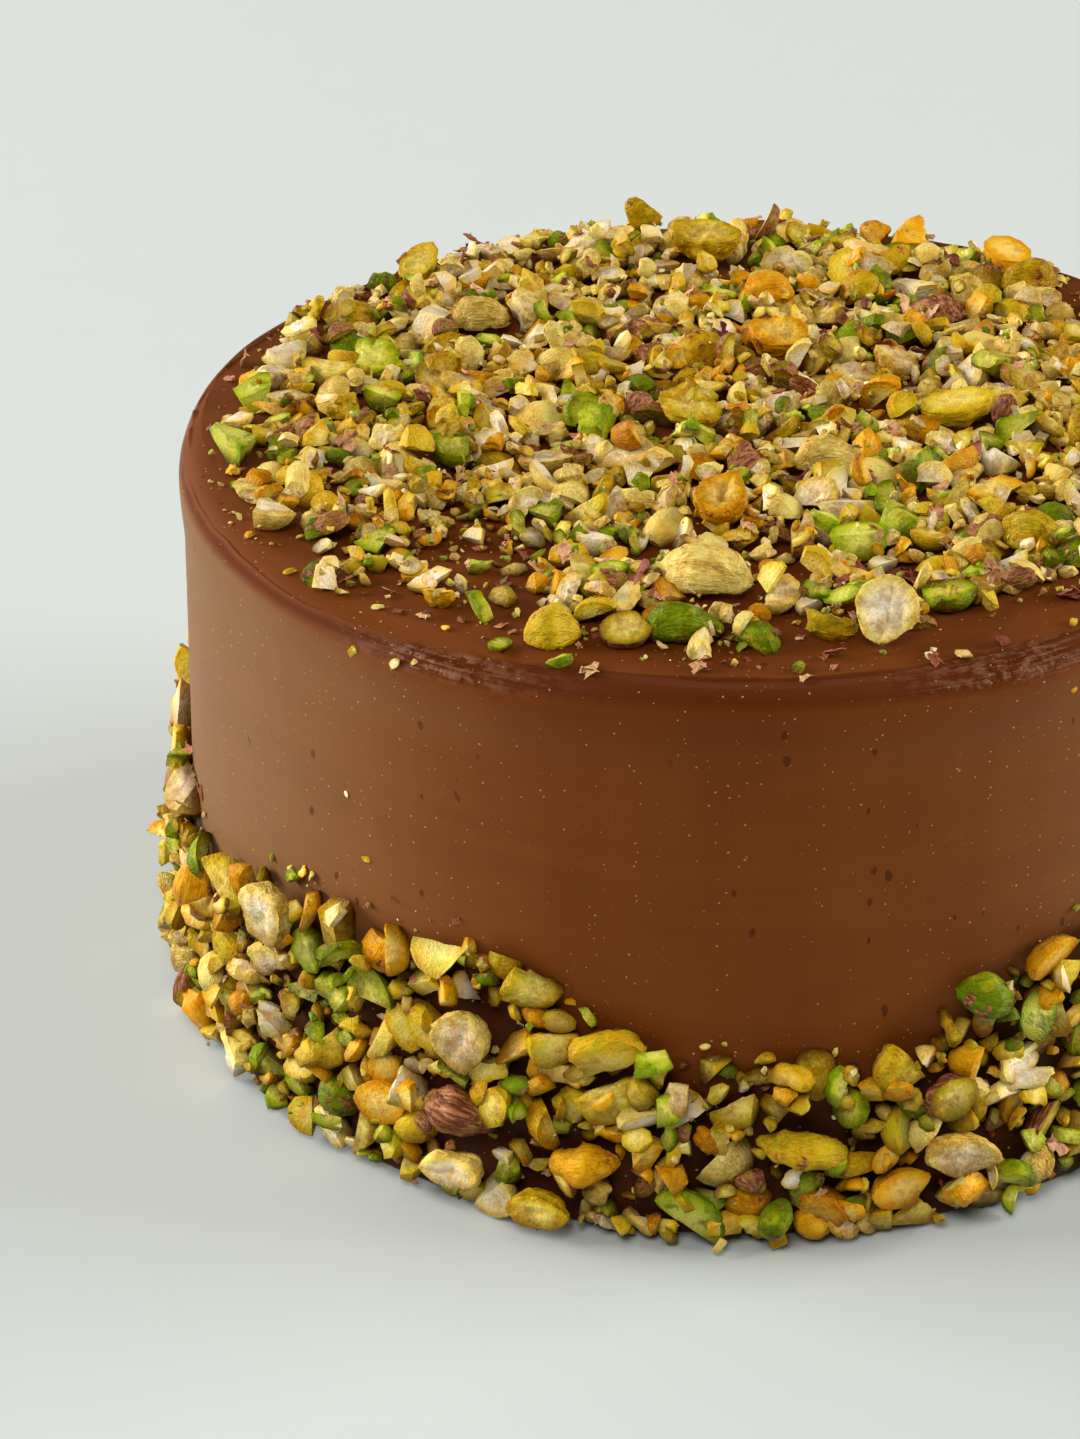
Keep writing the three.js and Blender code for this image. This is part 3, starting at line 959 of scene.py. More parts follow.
@functools.cache
def specks_group():
    """Small spots strewn over a surface: some cells of a grid each hold one, round or ragged."""
    inputs = {"Scale": 250.0, "Size": 0.08, "Share": 0.5, "Stretch": 1.0, "Ragged": 0.0}
    tree, nodes, given, out = new_group("Strewn Specks", inputs, ("Mask",))
    place = nodes.vector("MULTIPLY", nodes.place(), nodes.combined(1.0, 1.0, given["Stretch"]))
    twice = nodes.times(given["Scale"], 2.0)
    wander = nodes.add("ShaderNodeTexNoise", {"Vector": place, "Scale": twice, "Detail": 2.0})
    wander = nodes.vector("SUBTRACT", wander.outputs["Color"], (0.5, 0.5, 0.5))
    place = nodes.vector("ADD", place, nodes.vector("MULTIPLY", wander, given["Ragged"]))
    cells = nodes.add("ShaderNodeTexVoronoi", {"Vector": place, "Scale": given["Scale"]}).outputs
    picked = nodes.add("ShaderNodeSeparateColor", {"Color": cells["Color"]}).outputs
    inside = nodes.math("LESS_THAN", cells["Distance"], nodes.times(given["Size"], picked["Green"]))
    chosen = nodes.math("LESS_THAN", picked["Red"], given["Share"])
    nodes.fill(out, {"Mask": nodes.times(inside, chosen)})
    return tree


@functools.cache
def nut_grain_group():
    """How deep in its kernel a point of a nut lies, and the nut's mottling, ridges and grain."""
    outputs = ("Depth", "Natural", "Mottle", "Patch", "Ridges", "Grain", "Height")
    tree, nodes, given, out = new_group("Nut Grain", {"Tone": 0.5}, outputs)
    place = nodes.place()
    kernel = nodes.attribute("kernel", "Vector")
    depth = nodes.vector("LENGTH", kernel)
    natural = nodes.spread(depth, 0.93, 0.975)
    mottle = nodes.clouds(place, 460.0, 3.0, 0.65)
    patch = nodes.clouds(place, 250.0, 3.0, 0.65)
    grain = nodes.clouds(place, 1500.0, 1.0, 0.7)
    apart = nodes.times(given["Tone"], 37.0)
    lengthways = nodes.vector("ADD", nodes.stretched(kernel, (1.3, 7.0, 7.0)), apart)
    ridges = nodes.clouds(lengthways, 1.0, 2.0, 0.6)
    wobble = nodes.times(nodes.math("SUBTRACT", mottle, 0.5), 0.34)
    creases = nodes.times(nodes.from_half(ridges), 3.0)
    height = nodes.plus(nodes.between(natural, grain, creases), nodes.times(mottle, 0.7))
    values = (nodes.plus(depth, wobble), natural, mottle, patch, ridges, grain, height)
    nodes.fill(out, dict(zip(outputs, values)))
    return tree


# Frosting

# Marks on the frosting's points: the band that paints shade on the shoulder and the bare top, the torn
# stretches, and the painted shade under the nuts' border
FROSTING_MARKS = ("band", "torn", "bed_shade")


@functools.cache
def spread_marks_group():
    """Marks that a spreading knife leaves: long round the cake and short across."""
    tree, nodes, given, out = new_group("Spread Marks", {"Along": 12.0, "Across": 150.0}, ("Mark",))
    place = nodes.separate(nodes.place())
    radius = nodes.vector("LENGTH", nodes.combined(place["X"], place["Y"]))
    across = nodes.times(nodes.math("SUBTRACT", place["Z"], radius), given["Across"])
    along_x = nodes.times(place["X"], given["Along"])
    along_y = nodes.times(place["Y"], given["Along"])
    swept = nodes.combined(along_x, along_y, across)
    nodes.fill(out, {"Mark": nodes.clouds(swept, 1.0, 2.0)})
    return tree


def frosting_material(settings):
    """Satin milk chocolate: blotches, spreading marks, dark pits and pale specks, with painted shade that
    darkens the shoulder, the bare top and the bed of the nuts, a painted sheen at the sides and painted
    highlights on the tears.
    """
    material, nodes, shader = new_material("chocolate_frosting")
    place = nodes.place()
    band, torn, bed_shade = (nodes.attribute(name) for name in FROSTING_MARKS)
    blotches = nodes.clouds(place, 22.0, 2.0)
    drawn_up = nodes.clouds(nodes.stretched(place, (1.0, 1.0, 0.12)), 85.0, 2.0)
    broad_marks = nodes.group(spread_marks_group(), {"Along": 10.0, "Across": 160.0})["Mark"]
    fine_marks = nodes.group(spread_marks_group(), {"Along": 60.0, "Across": 1300.0})["Mark"]
    grain = nodes.clouds(place, 900.0, 2.0)
    specks = {"Scale": 760.0, "Size": 0.16, "Share": 0.75, "Ragged": 0.0004}
    specks = nodes.group(specks_group(), specks)["Mask"]
    pits = {"Scale": 260.0, "Size": 0.17, "Share": 0.55, "Stretch": 0.6, "Ragged": 0.0014}
    pits = nodes.group(specks_group(), pits)["Mask"]
    pits = nodes.times(pits, nodes.spread(nodes.clouds(place, 13.0, 1.0), 0.38, 0.54))
    on_side = nodes.spread(nodes.separate(place)["Z"], SIDE_TOP * MM, (SIDE_TOP - 2.5) * MM)
    # Painted sheen: where the wall is seen edge-on it is painted paler, standing in for a reflection of the
    # bright sides
    facing = nodes.add("ShaderNodeLayerWeight", {"Blend": 0.5}).outputs["Facing"]
    painted_sheen = nodes.times(on_side, nodes.spread(facing, 0.12, 0.62, 0.0, 0.3))
    crumpled = nodes.clouds(place, 420.0, 2.0, 0.7)
    crinkles = nodes.times(nodes.plus(fine_marks, crumpled), 0.5)
    # Painted highlights: streaks of the torn stretches are painted paler, standing in for the glints they
    # reflect
    painted_glints = nodes.times(torn, nodes.spread(crinkles, 0.46, 0.6))
    tone = nodes.weighted((blotches, 0.5), (broad_marks, 0.25), (drawn_up, 0.25))
    colour = nodes.mix(nodes.spread(tone, 0.32, 0.68), settings.deep_colour, settings.colour)
    # Layers over the chocolate, each a mask, its strength and a colour: the band's painted shade, a painted
    # sheen, painted shade under the nuts, pits, specks and painted highlights on the tears
    layers = (
        (band, 0.8, settings.shoulder_colour),
        (painted_sheen, 1.0, linear(140, 125, 92)),
        (bed_shade, 0.85, linear(50, 21, 4)),
        (pits, 0.6, linear(48, 19, 6)),
        (specks, 0.38, settings.speck_colour),
        (painted_glints, 0.3, linear(176, 132, 104)),
    )
    for mask, strength, over in layers:
        colour = nodes.mix(nodes.times(mask, strength), colour, over)
    satin = nodes.plus(nodes.spread(blotches, 0.25, 0.75, 0.5, 0.62), nodes.times(band, 0.2))
    streaks = nodes.times(crinkles, nodes.spread(torn, 0.0, 1.0, 0.12, 6.0))
    height = nodes.weighted(
        (broad_marks, 0.5), (grain, 0.14), (drawn_up, 0.5), (streaks, 1.0), (pits, -1.0), (specks, 0.3)
    )
    values = {
        "Base Color": colour,
        "Roughness": nodes.math("SUBTRACT", satin, nodes.times(torn, 0.5)),
        "Normal": nodes.bump(height, 0.45, 0.4 * MM),
        "Specular IOR Level": 0.1,
        "Sheen Weight": 0.06,
        "Sheen Roughness": 0.3,
        "Sheen Tint": (0.8, 1.0, 0.9, 1.0),
    }
    nodes.fill(shader, values)
    return material


# Rings of the frosting's profile: how many go up the side, up the lip, round its top and over the crease,
# and the radii of those on the level top
SIDE_RINGS = 22
LIP_RINGS = 12
ROUNDING_RINGS = 10
CREASE_RINGS = 42
TOP_RADII = (91, 89, 86, 80, 66, 45, 22, 0)
LIP_FOOT = 0.85 * SIDE_TOP
LIP_ROUNDING = 0.5
CREASE_LOW = 91.8
TURN_STEPS = 660


def frosting_profile():
    """Radii and heights from the foot's middle, up the side and over the shoulder, to the top's middle."""
    profile = [(0, 0), (0.5 * CAKE_RADIUS, 0), (CAKE_RADIUS - FOOT_ROUNDING, 0)]
    for step in range(1, 5):
        quarter = 0.5 * math.pi * step / 4
        inset = FOOT_ROUNDING * (1 - math.sin(quarter))
        profile.append((CAKE_RADIUS - inset, FOOT_ROUNDING * (1 - math.cos(quarter))))
    for ring in range(1, SIDE_RINGS + 1):
        profile.append((CAKE_RADIUS, FOOT_ROUNDING + (LIP_FOOT - FOOT_ROUNDING) * ring / SIDE_RINGS))
    lip_top = CAKE_HEIGHT - SHOULDER_DEPTH
    for ring in range(1, LIP_RINGS + 1):
        share = ring / LIP_RINGS
        bulge = LIP_BULGE * math.sin(0.5 * math.pi * share) ** 2
        profile.append((CAKE_RADIUS + bulge, LIP_FOOT + (lip_top - LIP_FOOT) * share))
    for ring in range(1, ROUNDING_RINGS + 1):
        radius = LIP_RADIUS - LIP_ROUNDING * (ring / ROUNDING_RINGS) ** 1.8
        profile.append((radius, float(shoulder_height(radius))))
    for ring in range(1, CREASE_RINGS + 1):
        inward = (CREASE_LOW - LIP_RADIUS + LIP_ROUNDING) * ring / CREASE_RINGS
        radius = LIP_RADIUS - LIP_ROUNDING + inward
        profile.append((radius, float(shoulder_height(radius))))
    return profile + [(radius, CAKE_HEIGHT) for radius in TOP_RADII]


def torn_share(angle):
    """How torn the shoulder is at an angle."""
    return sum(hump(angle, middle, half_width) for middle, half_width in TORN_STRETCHES)


def crease_at(angle, around):
    """Radius of the shoulder's crease, at an angle and its place round the cake."""
    wander = 0.5 * noise.noise(around / 22) + 0.3 * noise.noise(around / 7)
    return CREASE_RADIUS + ripple(angle, CREASE_RIPPLES) + wander


def frosting_marks(point):
    """How much a point gets of the band's painted shade on the shoulder and the bare top, of a torn
    stretch, and of the painted shade under the nuts' border.
    """
    x, y, z = point / MM
    radius = math.hypot(x, y)
    angle = math.atan2(x, -y)
    around = Vector((math.sin(angle), -math.cos(angle), 0)) * CAKE_RADIUS
    outside = part_way(radius, crease_at(angle, around), 0.4)
    # Painted shade: the band darkens the wall towards its top and the shoulder, and the bare top inside the
    # crease a little
    darker = 0.3 * part_way(z, 95, 9) + 0.7 * part_way(z, 103.2, 1.7)
    band = outside * darker + 0.35 * (1 - outside)
    torn = outside * torn_share(angle) * part_way(z, 102.8, 1.4)
    # Painted shade: the chocolate inside the border's outline is painted nearly black, as the gaps between
    # the nuts
    bed_shade = part_way(border_top(angle) - 2, z, 7) * part_way(radius, 95, 4)
    return band, torn, bed_shade


def frosting_relief(point, settings):
    """How a point of the turned frosting moves: waves of the side, the shoulder's crease and its tears."""
    x, y, z = point / MM
    radius = math.hypot(x, y)
    if radius < 1e-6:
        return Vector((0, 0, 0))
    angle = math.atan2(x, -y)
    outward = Vector((x / radius, y / radius, 0))
    up = Vector((0, 0, 1))
    on_side = part_way(radius, 97, 2) * part_way(z, 2, 3)
    wave = 0.28 * noise.noise(Vector((x, y, 0.7 * z)) / 42) + 0.06 * noise.noise(Vector((x, y, z)) / 9)
    move = outward * (wave * on_side)
    shoulder = part_way(z, 0.88 * SIDE_TOP, 9) * part_way(radius, 93.2, 2)
    rise = min(ripple(angle, SHOULDER_RIPPLES), CAKE_HEIGHT - z)
    move += up * (rise * shoulder)
    if z < 0.93 * SIDE_TOP or radius < 88:
        return move * MM
    around = outward * CAKE_RADIUS
    past = radius - crease_at(angle, around)
    height = (0.55 + 0.7 * noise.noise(around / 15 + up * 5)) * settings.ridge / MM
    ledge = 0.6 * clamped(past / 0.25 + 0.5) * math.exp(-max(past, 0) / 3)
    move += up * (height * (bell(past, 0.26) - ledge))
    torn = torn_share(angle)
    down_slope = (LIP_RADIUS - radius) - (CAKE_HEIGHT - z)
    edge = 0.2 + 1.6 * noise.noise(around / 12 + up * 2)
    ragged = 0.5 + 1.0 * noise.noise(around / 2.6 + up * 7)
    lift = ragged * bell(down_slope - edge, 0.6)
    crumple = noise.noise(Vector((around.x / 4.5, around.y / 4.5, down_slope / 0.8)))
    band = bell(down_slope - 3, 3.2) * clamped(past + 0.5)
    move += (up * 0.8 + outward * 0.4) * (torn * (lift + 0.7 * band * crumple) * settings.tear / MM)
    return move * MM


class CAKE_OT_frosting(bpy.types.Operator):
    """Spread the chocolate frosting over the cake"""

    bl_idname = "cake.frosting"
    bl_label = "Frosting"

    def execute(self, context):
        settings = context.scene.cake_frosting
        deselect_all()
        bpy.ops.mesh.primitive_plane_add(size=MM)
        piece = context.object
        piece.name = "frosting"
        bpy.ops.object.mode_set(mode="EDIT")
        bpy.ops.mesh.merge(type="CENTER")
        profile = frosting_profile()
        for (radius, height), (next_radius, next_height) in zip(profile, profile[1:]):
            step = ((next_radius - radius) * MM, 0, (next_height - height) * MM)
            bpy.ops.mesh.extrude_region_move(TRANSFORM_OT_translate={"value": step})
        bpy.ops.object.mode_set(mode="OBJECT")
        turn = {"axis": "Z", "angle": 2 * math.pi, "steps": TURN_STEPS}
        applied(piece, "SCREW", use_merge_vertices=True, merge_threshold=0.001 * MM, **turn)
        bpy.ops.object.mode_set(mode="EDIT")
        bpy.ops.mesh.select_all(action="SELECT")
        bpy.ops.mesh.normals_make_consistent(inside=False)
        bpy.ops.object.mode_set(mode="OBJECT")
        places = [vertex.co.copy() for vertex in piece.data.vertices]
        for vertex, place in zip(piece.data.vertices, places):
            vertex.co = place + frosting_relief(place, settings)
        marks = np.array([frosting_marks(place) for place in places])
        for name, values in zip(FROSTING_MARKS, marks.T):
            marked(piece.data, name, values)
        bpy.ops.object.shade_smooth()
        finished(piece, frosting_material(settings), "chocolate_frosting", "frosted_cake")
        return {"FINISHED"}


# Pistachios

# Screen colours of a kind from the middle of its kernel out, of its roasted and its fresher parts,
# and how bare of skin it is
Flesh = namedtuple("Flesh", "inside middle rim rind roast fresh bare")
FLESH = {
    "pale": Flesh(
        inside=(253, 246, 226),
        middle=(250, 235, 174),
        rim=(236, 212, 104),
        rind=(240, 219, 126),
        roast=(232, 178, 54),
        fresh=(224, 223, 118),
        bare=0.7,
    ),
    "olive": Flesh(
        inside=(250, 232, 124),
        middle=(234, 206, 62),
        rim=(208, 176, 24),
        rind=(214, 182, 32),
        roast=(206, 142, 10),
        fresh=(176, 184, 28),
        bare=0.64,
    ),
    "green": Flesh(
        inside=(240, 240, 112),
        middle=(196, 208, 44),
        rim=(138, 164, 10),
        rind=(128, 154, 6),
        roast=(70, 82, 8),
        fresh=(196, 186, 30),
        bare=0.6,
    ),
    "golden": Flesh(
        inside=(255, 224, 118),
        middle=(248, 194, 38),
        rim=(226, 158, 10),
        rind=(230, 168, 18),
        roast=(210, 124, 0),
        fresh=(232, 192, 66),
        bare=0.64,
    ),
    "skinned": Flesh(
        inside=(250, 230, 130),
        middle=(220, 190, 54),
        rim=(156, 138, 20),
        rind=(146, 94, 44),
        roast=(152, 98, 22),
        fresh=(140, 148, 28),
        bare=0.36,
    ),
}
FLESH_DEPTHS = (0.35, 0.7, 0.9, 0.97)
# What the darkest mottling with the painted shade in the valleys of the ridges, and the shade in a heap,
# leave of a nut's red, green and blue
DEEP_TINT = (0.4, 0.25, 0.02)
SHADE_TINT = linear(100, 62, 14)


@functools.cache
def nut_material(kind):
    """Flesh of one kind of pistachio from its middle to its rind, toned nut by nut, with papery skin."""
    settings = bpy.context.scene.cake_nuts
    material, nodes, shader = new_material(kind + "_pistachio")
    flesh = FLESH[kind]
    tone = nodes.attribute("tone")
    grain = nodes.group(nut_grain_group(), {"Tone": tone})
    patch = grain["Patch"]
    layers = (flesh.inside, flesh.middle, flesh.rim, flesh.rind)
    stops = [(depth, linear(*colour)) for depth, colour in zip(FLESH_DEPTHS, layers)]
    colour = nodes.ramp(grain["Depth"], stops)
    roasted = nodes.times(nodes.math("POWER", tone, 2.0), 0.45)
    roasted = nodes.math("ADD", roasted, nodes.spread(patch, 0.5, 0.62, 0.0, 0.4), clamp=True)
    colour = nodes.mix(roasted, colour, linear(*flesh.roast))
    colour = nodes.mix(nodes.spread(patch, 0.47, 0.36, 0.0, 0.45), colour, linear(*flesh.fresh))
    skin = nodes.times(nodes.spread(patch, flesh.bare - 0.02, flesh.bare + 0.02), grain["Natural"])
    papery = nodes.mix(nodes.spread(grain["Ridges"], 0.38, 0.6), settings.skin_red, settings.skin_tan)
    colour = nodes.mix(nodes.times(skin, 0.9), colour, papery)
    flecks = nodes.spread(grain["Grain"], 0.7, 0.76, 0.0, 0.5)
    colour = nodes.mix(flecks, colour, settings.skin_red)
    own_shade = nodes.math("FRACT", nodes.times(tone, 7.31))
    # Painted shade: the valleys between the ridges of a nut's natural surface are painted darker
    valley_shade = nodes.spread(nodes.from_half(grain["Ridges"]), 0.0, 0.09, 0.84, 1.03)
    shades = (
        nodes.spread(grain["Mottle"], 0.3, 0.7, 0.78, 1.08),
        nodes.spread(own_shade, 0.0, 1.0, 0.74, 1.05),
        nodes.spread(grain["Grain"], 0.35, 0.65, 0.93, 1.05),
        nodes.between(grain["Natural"], 1.0, valley_shade),
    )
    shade = functools.reduce(nodes.times, shades)
    deeper = nodes.mix(1.0, colour, DEEP_TINT, blend="MULTIPLY")
    colour = nodes.mix(nodes.spread(shade, 0.4, 0.97), deeper, colour)
    shaded = nodes.mix(1.0, colour, SHADE_TINT, blend="MULTIPLY")
    colour = nodes.mix(nodes.attribute("lift"), shaded, colour)
    values = {
        "Base Color": colour,
        "Roughness": nodes.spread(grain["Mottle"], 0.2, 0.8, 0.26, 0.46),
        "Normal": nodes.bump(grain["Height"], 0.6, 0.45 * MM),
        "Specular IOR Level": 0.1,
    }
    nodes.fill(shader, values)
    return material


def flat_normal(mesh):
    """The way that a half's largest flat face looks."""
    areas = {}
    for face in mesh.polygons:
        key = tuple(round(c, 2) for c in face.normal)
        areas[key] = areas.get(key, 0) + face.area
    return np.array(Vector(max(areas, key=areas.get)).normalized())


def half_frame(mesh):
    """A half's axes (lengthways, across and out of its flat), its flat's middle, and its half sizes."""
    out = flat_normal(mesh)
    points = np.array([v.co for v in mesh.vertices])
    level = points - np.outer(points @ out, out)
    _, _, ways = np.linalg.svd(level - level.mean(axis=0), full_matrices=False)
    axes = np.array((ways[0], np.cross(out, ways[0]), out))
    spans = points @ axes.T
    low = spans.min(axis=0)
    high = spans.max(axis=0)
    middle = np.array((*((low + high) / 2)[:2], high[2]))
    sizes = np.array((*((high - low) / 2)[:2], high[2] - low[2]))
    return axes, axes.T @ middle, sizes


def half_relief(share, normal, size, seed):
    """How far a point of a half moves out, in wrinkles: dents, ridges along it and a cleft in its flat."""
    at = Vector(share * size) / MM
    apart = Vector((seed * 13.7, seed * 5.1, seed * 9.3))
    dents = 2.2 * noise.noise(at / 4.2 + apart)
    ridges = 0.8 * noise.noise(Vector((at.x / 5, at.y / 1.1, at.z / 1.1)) + apart)
    breaks = 0.5 * noise.noise(at / 1.3 + apart)
    on_flat = part_way(normal.z, 0.5, 0.3)
    cleft = 1.6 * bell(share[1] - 0.12 * dents, 0.16) * max(0.0, 1 - share[0] ** 2)
    return dents + (1 - on_flat) * ridges + breaks - on_flat * cleft


def model_half(node, side, half, seed, wrinkle):
    """A pistachio half over its solid: an almond cut lengthways, with dents, ridges and a cleft."""
    axes, middle, size = half_frame(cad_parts[node].data)
    deselect_all()
    bpy.ops.mesh.primitive_ico_sphere_add(subdivisions=4, radius=1)
    piece = bpy.context.object
    piece.name = node.replace("half", "pistachio")
    bpy.ops.object.mode_set(mode="EDIT")
    bpy.ops.transform.resize(value=tuple(size))
    bpy.ops.mesh.bisect(plane_co=(0, 0, 0), plane_no=(0, 0, 1), use_fill=True, clear_outer=True)
    bpy.ops.object.mode_set(mode="OBJECT")
    applied(piece, "REMESH", mode="VOXEL", voxel_size=0.5 * MM)
    applied(piece, "SMOOTH", factor=0.5, iterations=2)
    shares = np.array([v.co for v in piece.data.vertices]) / size
    normals = [v.normal.copy() for v in piece.data.vertices]
    for vertex, share, normal in zip(piece.data.vertices, shares, normals):
        narrowing = 1 - 0.3 * max(0.0, share[0]) ** 1.6
        place = Vector(share * (1, narrowing, narrowing) * size)
        vertex.co = place + normal * (wrinkle * half_relief(share, normal, size, seed))
    kernel = shares / np.maximum(1, np.linalg.norm(shares, axis=1))[:, None]
    marked(piece.data, "kernel", kernel)
    marked(piece.data, "tone", np.full(len(shares), half.tone))
    piece.data.transform(Matrix.Translation(middle) @ Matrix(axes.T).to_4x4())
    marked(piece.data, "lift", lift_shares(side, mesh_arrays(piece)[0] / MM))
    bpy.ops.object.shade_smooth()
    return piece


class CAKE_OT_halves(bpy.types.Operator):
    """Lay the pistachio halves on the top and press them on the side"""

    bl_idname = "cake.halves"
    bl_label = "Pistachio Halves"

    def execute(self, context):
        wrinkle = context.scene.cake_nuts.wrinkle
        for side, heap in HEAPS.items():
            for number, half in enumerate(heap.halves, 1):
                node = f"{'side' if side else 'top'}_half_{number:02d}"
                piece = model_half(node, side, half, number, wrinkle)
                finished(piece, nut_material(half.kind), "pistachio_kernel", node)
        return {"FINISHED"}


# Shapes of chopped nuts: the least length of each grade, how many there are, how many faces a broken one
# has and how fine it is made, and how fine the ball is that a cleanly cut one starts as
Grade = namedtuple("Grade", "least shapes faces voxel ball")
GRADES = (
    Grade(6.0, 30, 220, 0.045, 2),
    Grade(3.6, 20, 90, 0.06, 1),
    Grade(0.0, 15, 40, 0.08, None),
)
KERNEL = (1.0, 0.86, 0.8)
CHUNK_STYLES = ("end", "slice", "wedge", "dice", "half")
CLEAN_BREAKS = 0.06
ROUGH_BREAKS = (0.05, 0.14, 0.2)
BREAK_SIZE = 0.26
FLIPS = ((1, 1, 1), (1, -1, -1), (-1, 1, -1), (-1, -1, 1))


def chunk_cuts(style, draw):
    """Planes that chop a kernel in one of five styles: an offset from its middle and a direction each."""

    def cut(least, most, way, lean):
        return draw.uniform(least, most), [part + draw.uniform(-lean, lean) for part in way]

    if style == "end":
        return [cut(-0.06, 0.06, (0, 0, -1), 0.25), cut(-0.05, 0.2, (1, 0, 0), 0.45)]
    if style == "slice":
        ends = [cut(0.08, 0.2, (x, 0, 0), 0.4) for x in (-1, 1)]
        return ends + [cut(-0.05, 0.15, (0, 0, -1), 0.2)]
    if style == "wedge":
        rise = draw.choice((-0.6, 0.6))
        sides = [cut(0.0, 0.1, (0, y, rise), 0.25) for y in (-1, 1)]
        return sides + [cut(0.15, 0.4, (1, 0, 0), 0.45)]
    if style == "dice":
        ways = ((1, 0, 0), (-1, 0, 0), (0, 1, 0), (0, -1, 0), (0, 0, 1), (0, 0, -1))
        return [cut(0.13, 0.32, way, 0.4) for way in ways]
    return [cut(-0.05, 0.05, (0, 0, -1), 0.15), cut(0.28, 0.45, (1, 0, 0), 0.5)]


@functools.cache
def break_texture():
    """A soft cloudy texture that roughens the chopped nuts."""
    texture = bpy.data.textures.new("chunk_breaks", "CLOUDS")
    texture.noise_scale = BREAK_SIZE
    texture.noise_depth = 2
    return texture


def model_chunk(number, grade):
    """A chopped nut: a kernel cut by planes, cleanly or broken, with its points' places in the kernel."""
    draw = random.Random(1000 * grade.shapes + number)
    clean = grade.ball and number % 2
    deselect_all()
    bpy.ops.mesh.primitive_ico_sphere_add(subdivisions=grade.ball if clean else 3, radius=0.5)
    piece = bpy.context.object
    bpy.ops.object.mode_set(mode="EDIT")
    bpy.ops.transform.resize(value=KERNEL)
    for offset, way in chunk_cuts(CHUNK_STYLES[number % len(CHUNK_STYLES)], draw):
        normal = Vector(way).normalized()
        bpy.ops.mesh.select_all(action="SELECT")
        bpy.ops.mesh.bisect(plane_co=normal * offset, plane_no=normal, use_fill=True, clear_outer=True)
        if clean:
            bpy.ops.mesh.poke(offset=draw.uniform(-0.04, 0.03))
    bpy.ops.object.mode_set(mode="OBJECT")
    breaks = CLEAN_BREAKS if clean else draw.choice(ROUGH_BREAKS)
    if not clean:
        applied(piece, "REMESH", mode="VOXEL", voxel_size=grade.voxel)
    shift = Matrix.Translation(Vector((draw.random(), draw.random(), draw.random())) * 40)
    piece.data.transform(shift)
    applied(piece, "DISPLACE", texture=break_texture(), strength=breaks, mid_level=0.5)
    piece.data.transform(shift.inverted())
    if not clean:
        piece.data.calc_loop_triangles()
        applied(piece, "DECIMATE", ratio=min(1.0, grade.faces / len(piece.data.loop_triangles)))
    points, _ = mesh_arrays(piece)
    kernel = points / (0.5 * np.array(KERNEL))
    order = np.argsort(points.min(axis=0) - points.max(axis=0))
    points, triangles = unit_shape()
    return points[:, order] * (1, 1, permutation_sign(order)), triangles, kernel


def permutation_sign(order):
    """1 if an order of three axes keeps a shape's handedness, or -1 if it mirrors it."""
    return round(np.linalg.det(np.eye(3)[order]))


@functools.cache
def chunk_shapes(grade):
    return [model_chunk(number, grade) for number in range(grade.shapes)]


def chunk_part(nut):
    """One chopped nut as points, triangles and marks, ready to be joined."""
    grade = next(g for g in GRADES if max(nut.size) >= g.least)
    shapes = chunk_shapes(grade)
    points, triangles, kernel = shapes[nut.shape % len(shapes)]
    flipped = points * FLIPS[(nut.shape >> 16) % len(FLIPS)]
    placed = placed_points(nut, flipped)
    tones = np.full(len(placed), nut.tone)
    return placed, triangles, {"tone": tones, "kernel": kernel, "lift": lift_shares(nut.side, placed)}


class CAKE_OT_chopped_nuts(bpy.types.Operator):
    """Heap the chopped pistachios on the top and round the foot, one piece for each kind"""

    bl_idname = "cake.chopped_nuts"
    bl_label = "Chopped Pistachios"

    def execute(self, context):
        nuts = on_both("nuts")
        for kind in KINDS:
            parts = [chunk_part(nut) for nut in nuts if nut.kind == kind]
            piece = joined_mesh(kind + "_chopped_nuts", parts, 38)
            finished(piece, nut_material(kind), "pistachio", "nut_topping", "nut_border")
        return {"FINISHED"}


# Crumbs and skins

CRUMB_COLOURS = (
    (242, 228, 170),
    (234, 212, 130),
    (224, 192, 84),
    (200, 186, 70),
    (126, 150, 44),
    (176, 160, 76),
    (200, 150, 90),
    (120, 70, 56),
)
FLAKE_COLOURS = (
    (108, 50, 38),
    (162, 90, 68),
    (208, 144, 112),
    (228, 190, 142),
    (186, 130, 90),
)
SMALL_SHAPES = 8


@functools.cache
def crumb_shape(seed):
    """An angular crumb, one unit long, wide and high."""
    deselect_all()
    bpy.ops.mesh.primitive_ico_sphere_add(subdivisions=1, radius=0.5)
    bpy.ops.object.mode_set(mode="EDIT")
    bpy.ops.transform.vertex_random(offset=0.3, seed=seed)
    return unit_shape()


@functools.cache
def flake_shape(seed):
    """A thin curled flake with torn edges, one unit long, wide and high."""
    deselect_all()
    bpy.ops.mesh.primitive_grid_add(x_subdivisions=5, y_subdivisions=3, size=1)
    bpy.ops.object.mode_set(mode="EDIT")
    bpy.ops.transform.vertex_random(offset=0.24, seed=seed)
    bpy.ops.object.mode_set(mode="OBJECT")
    piece = bpy.context.object
    curl = math.radians(60 + 18 * seed)
    applied(piece, "SIMPLE_DEFORM", deform_method="BEND", deform_axis="Y", angle=curl)
    applied(piece, "SOLIDIFY", thickness=0.05, offset=0)
    return unit_shape()


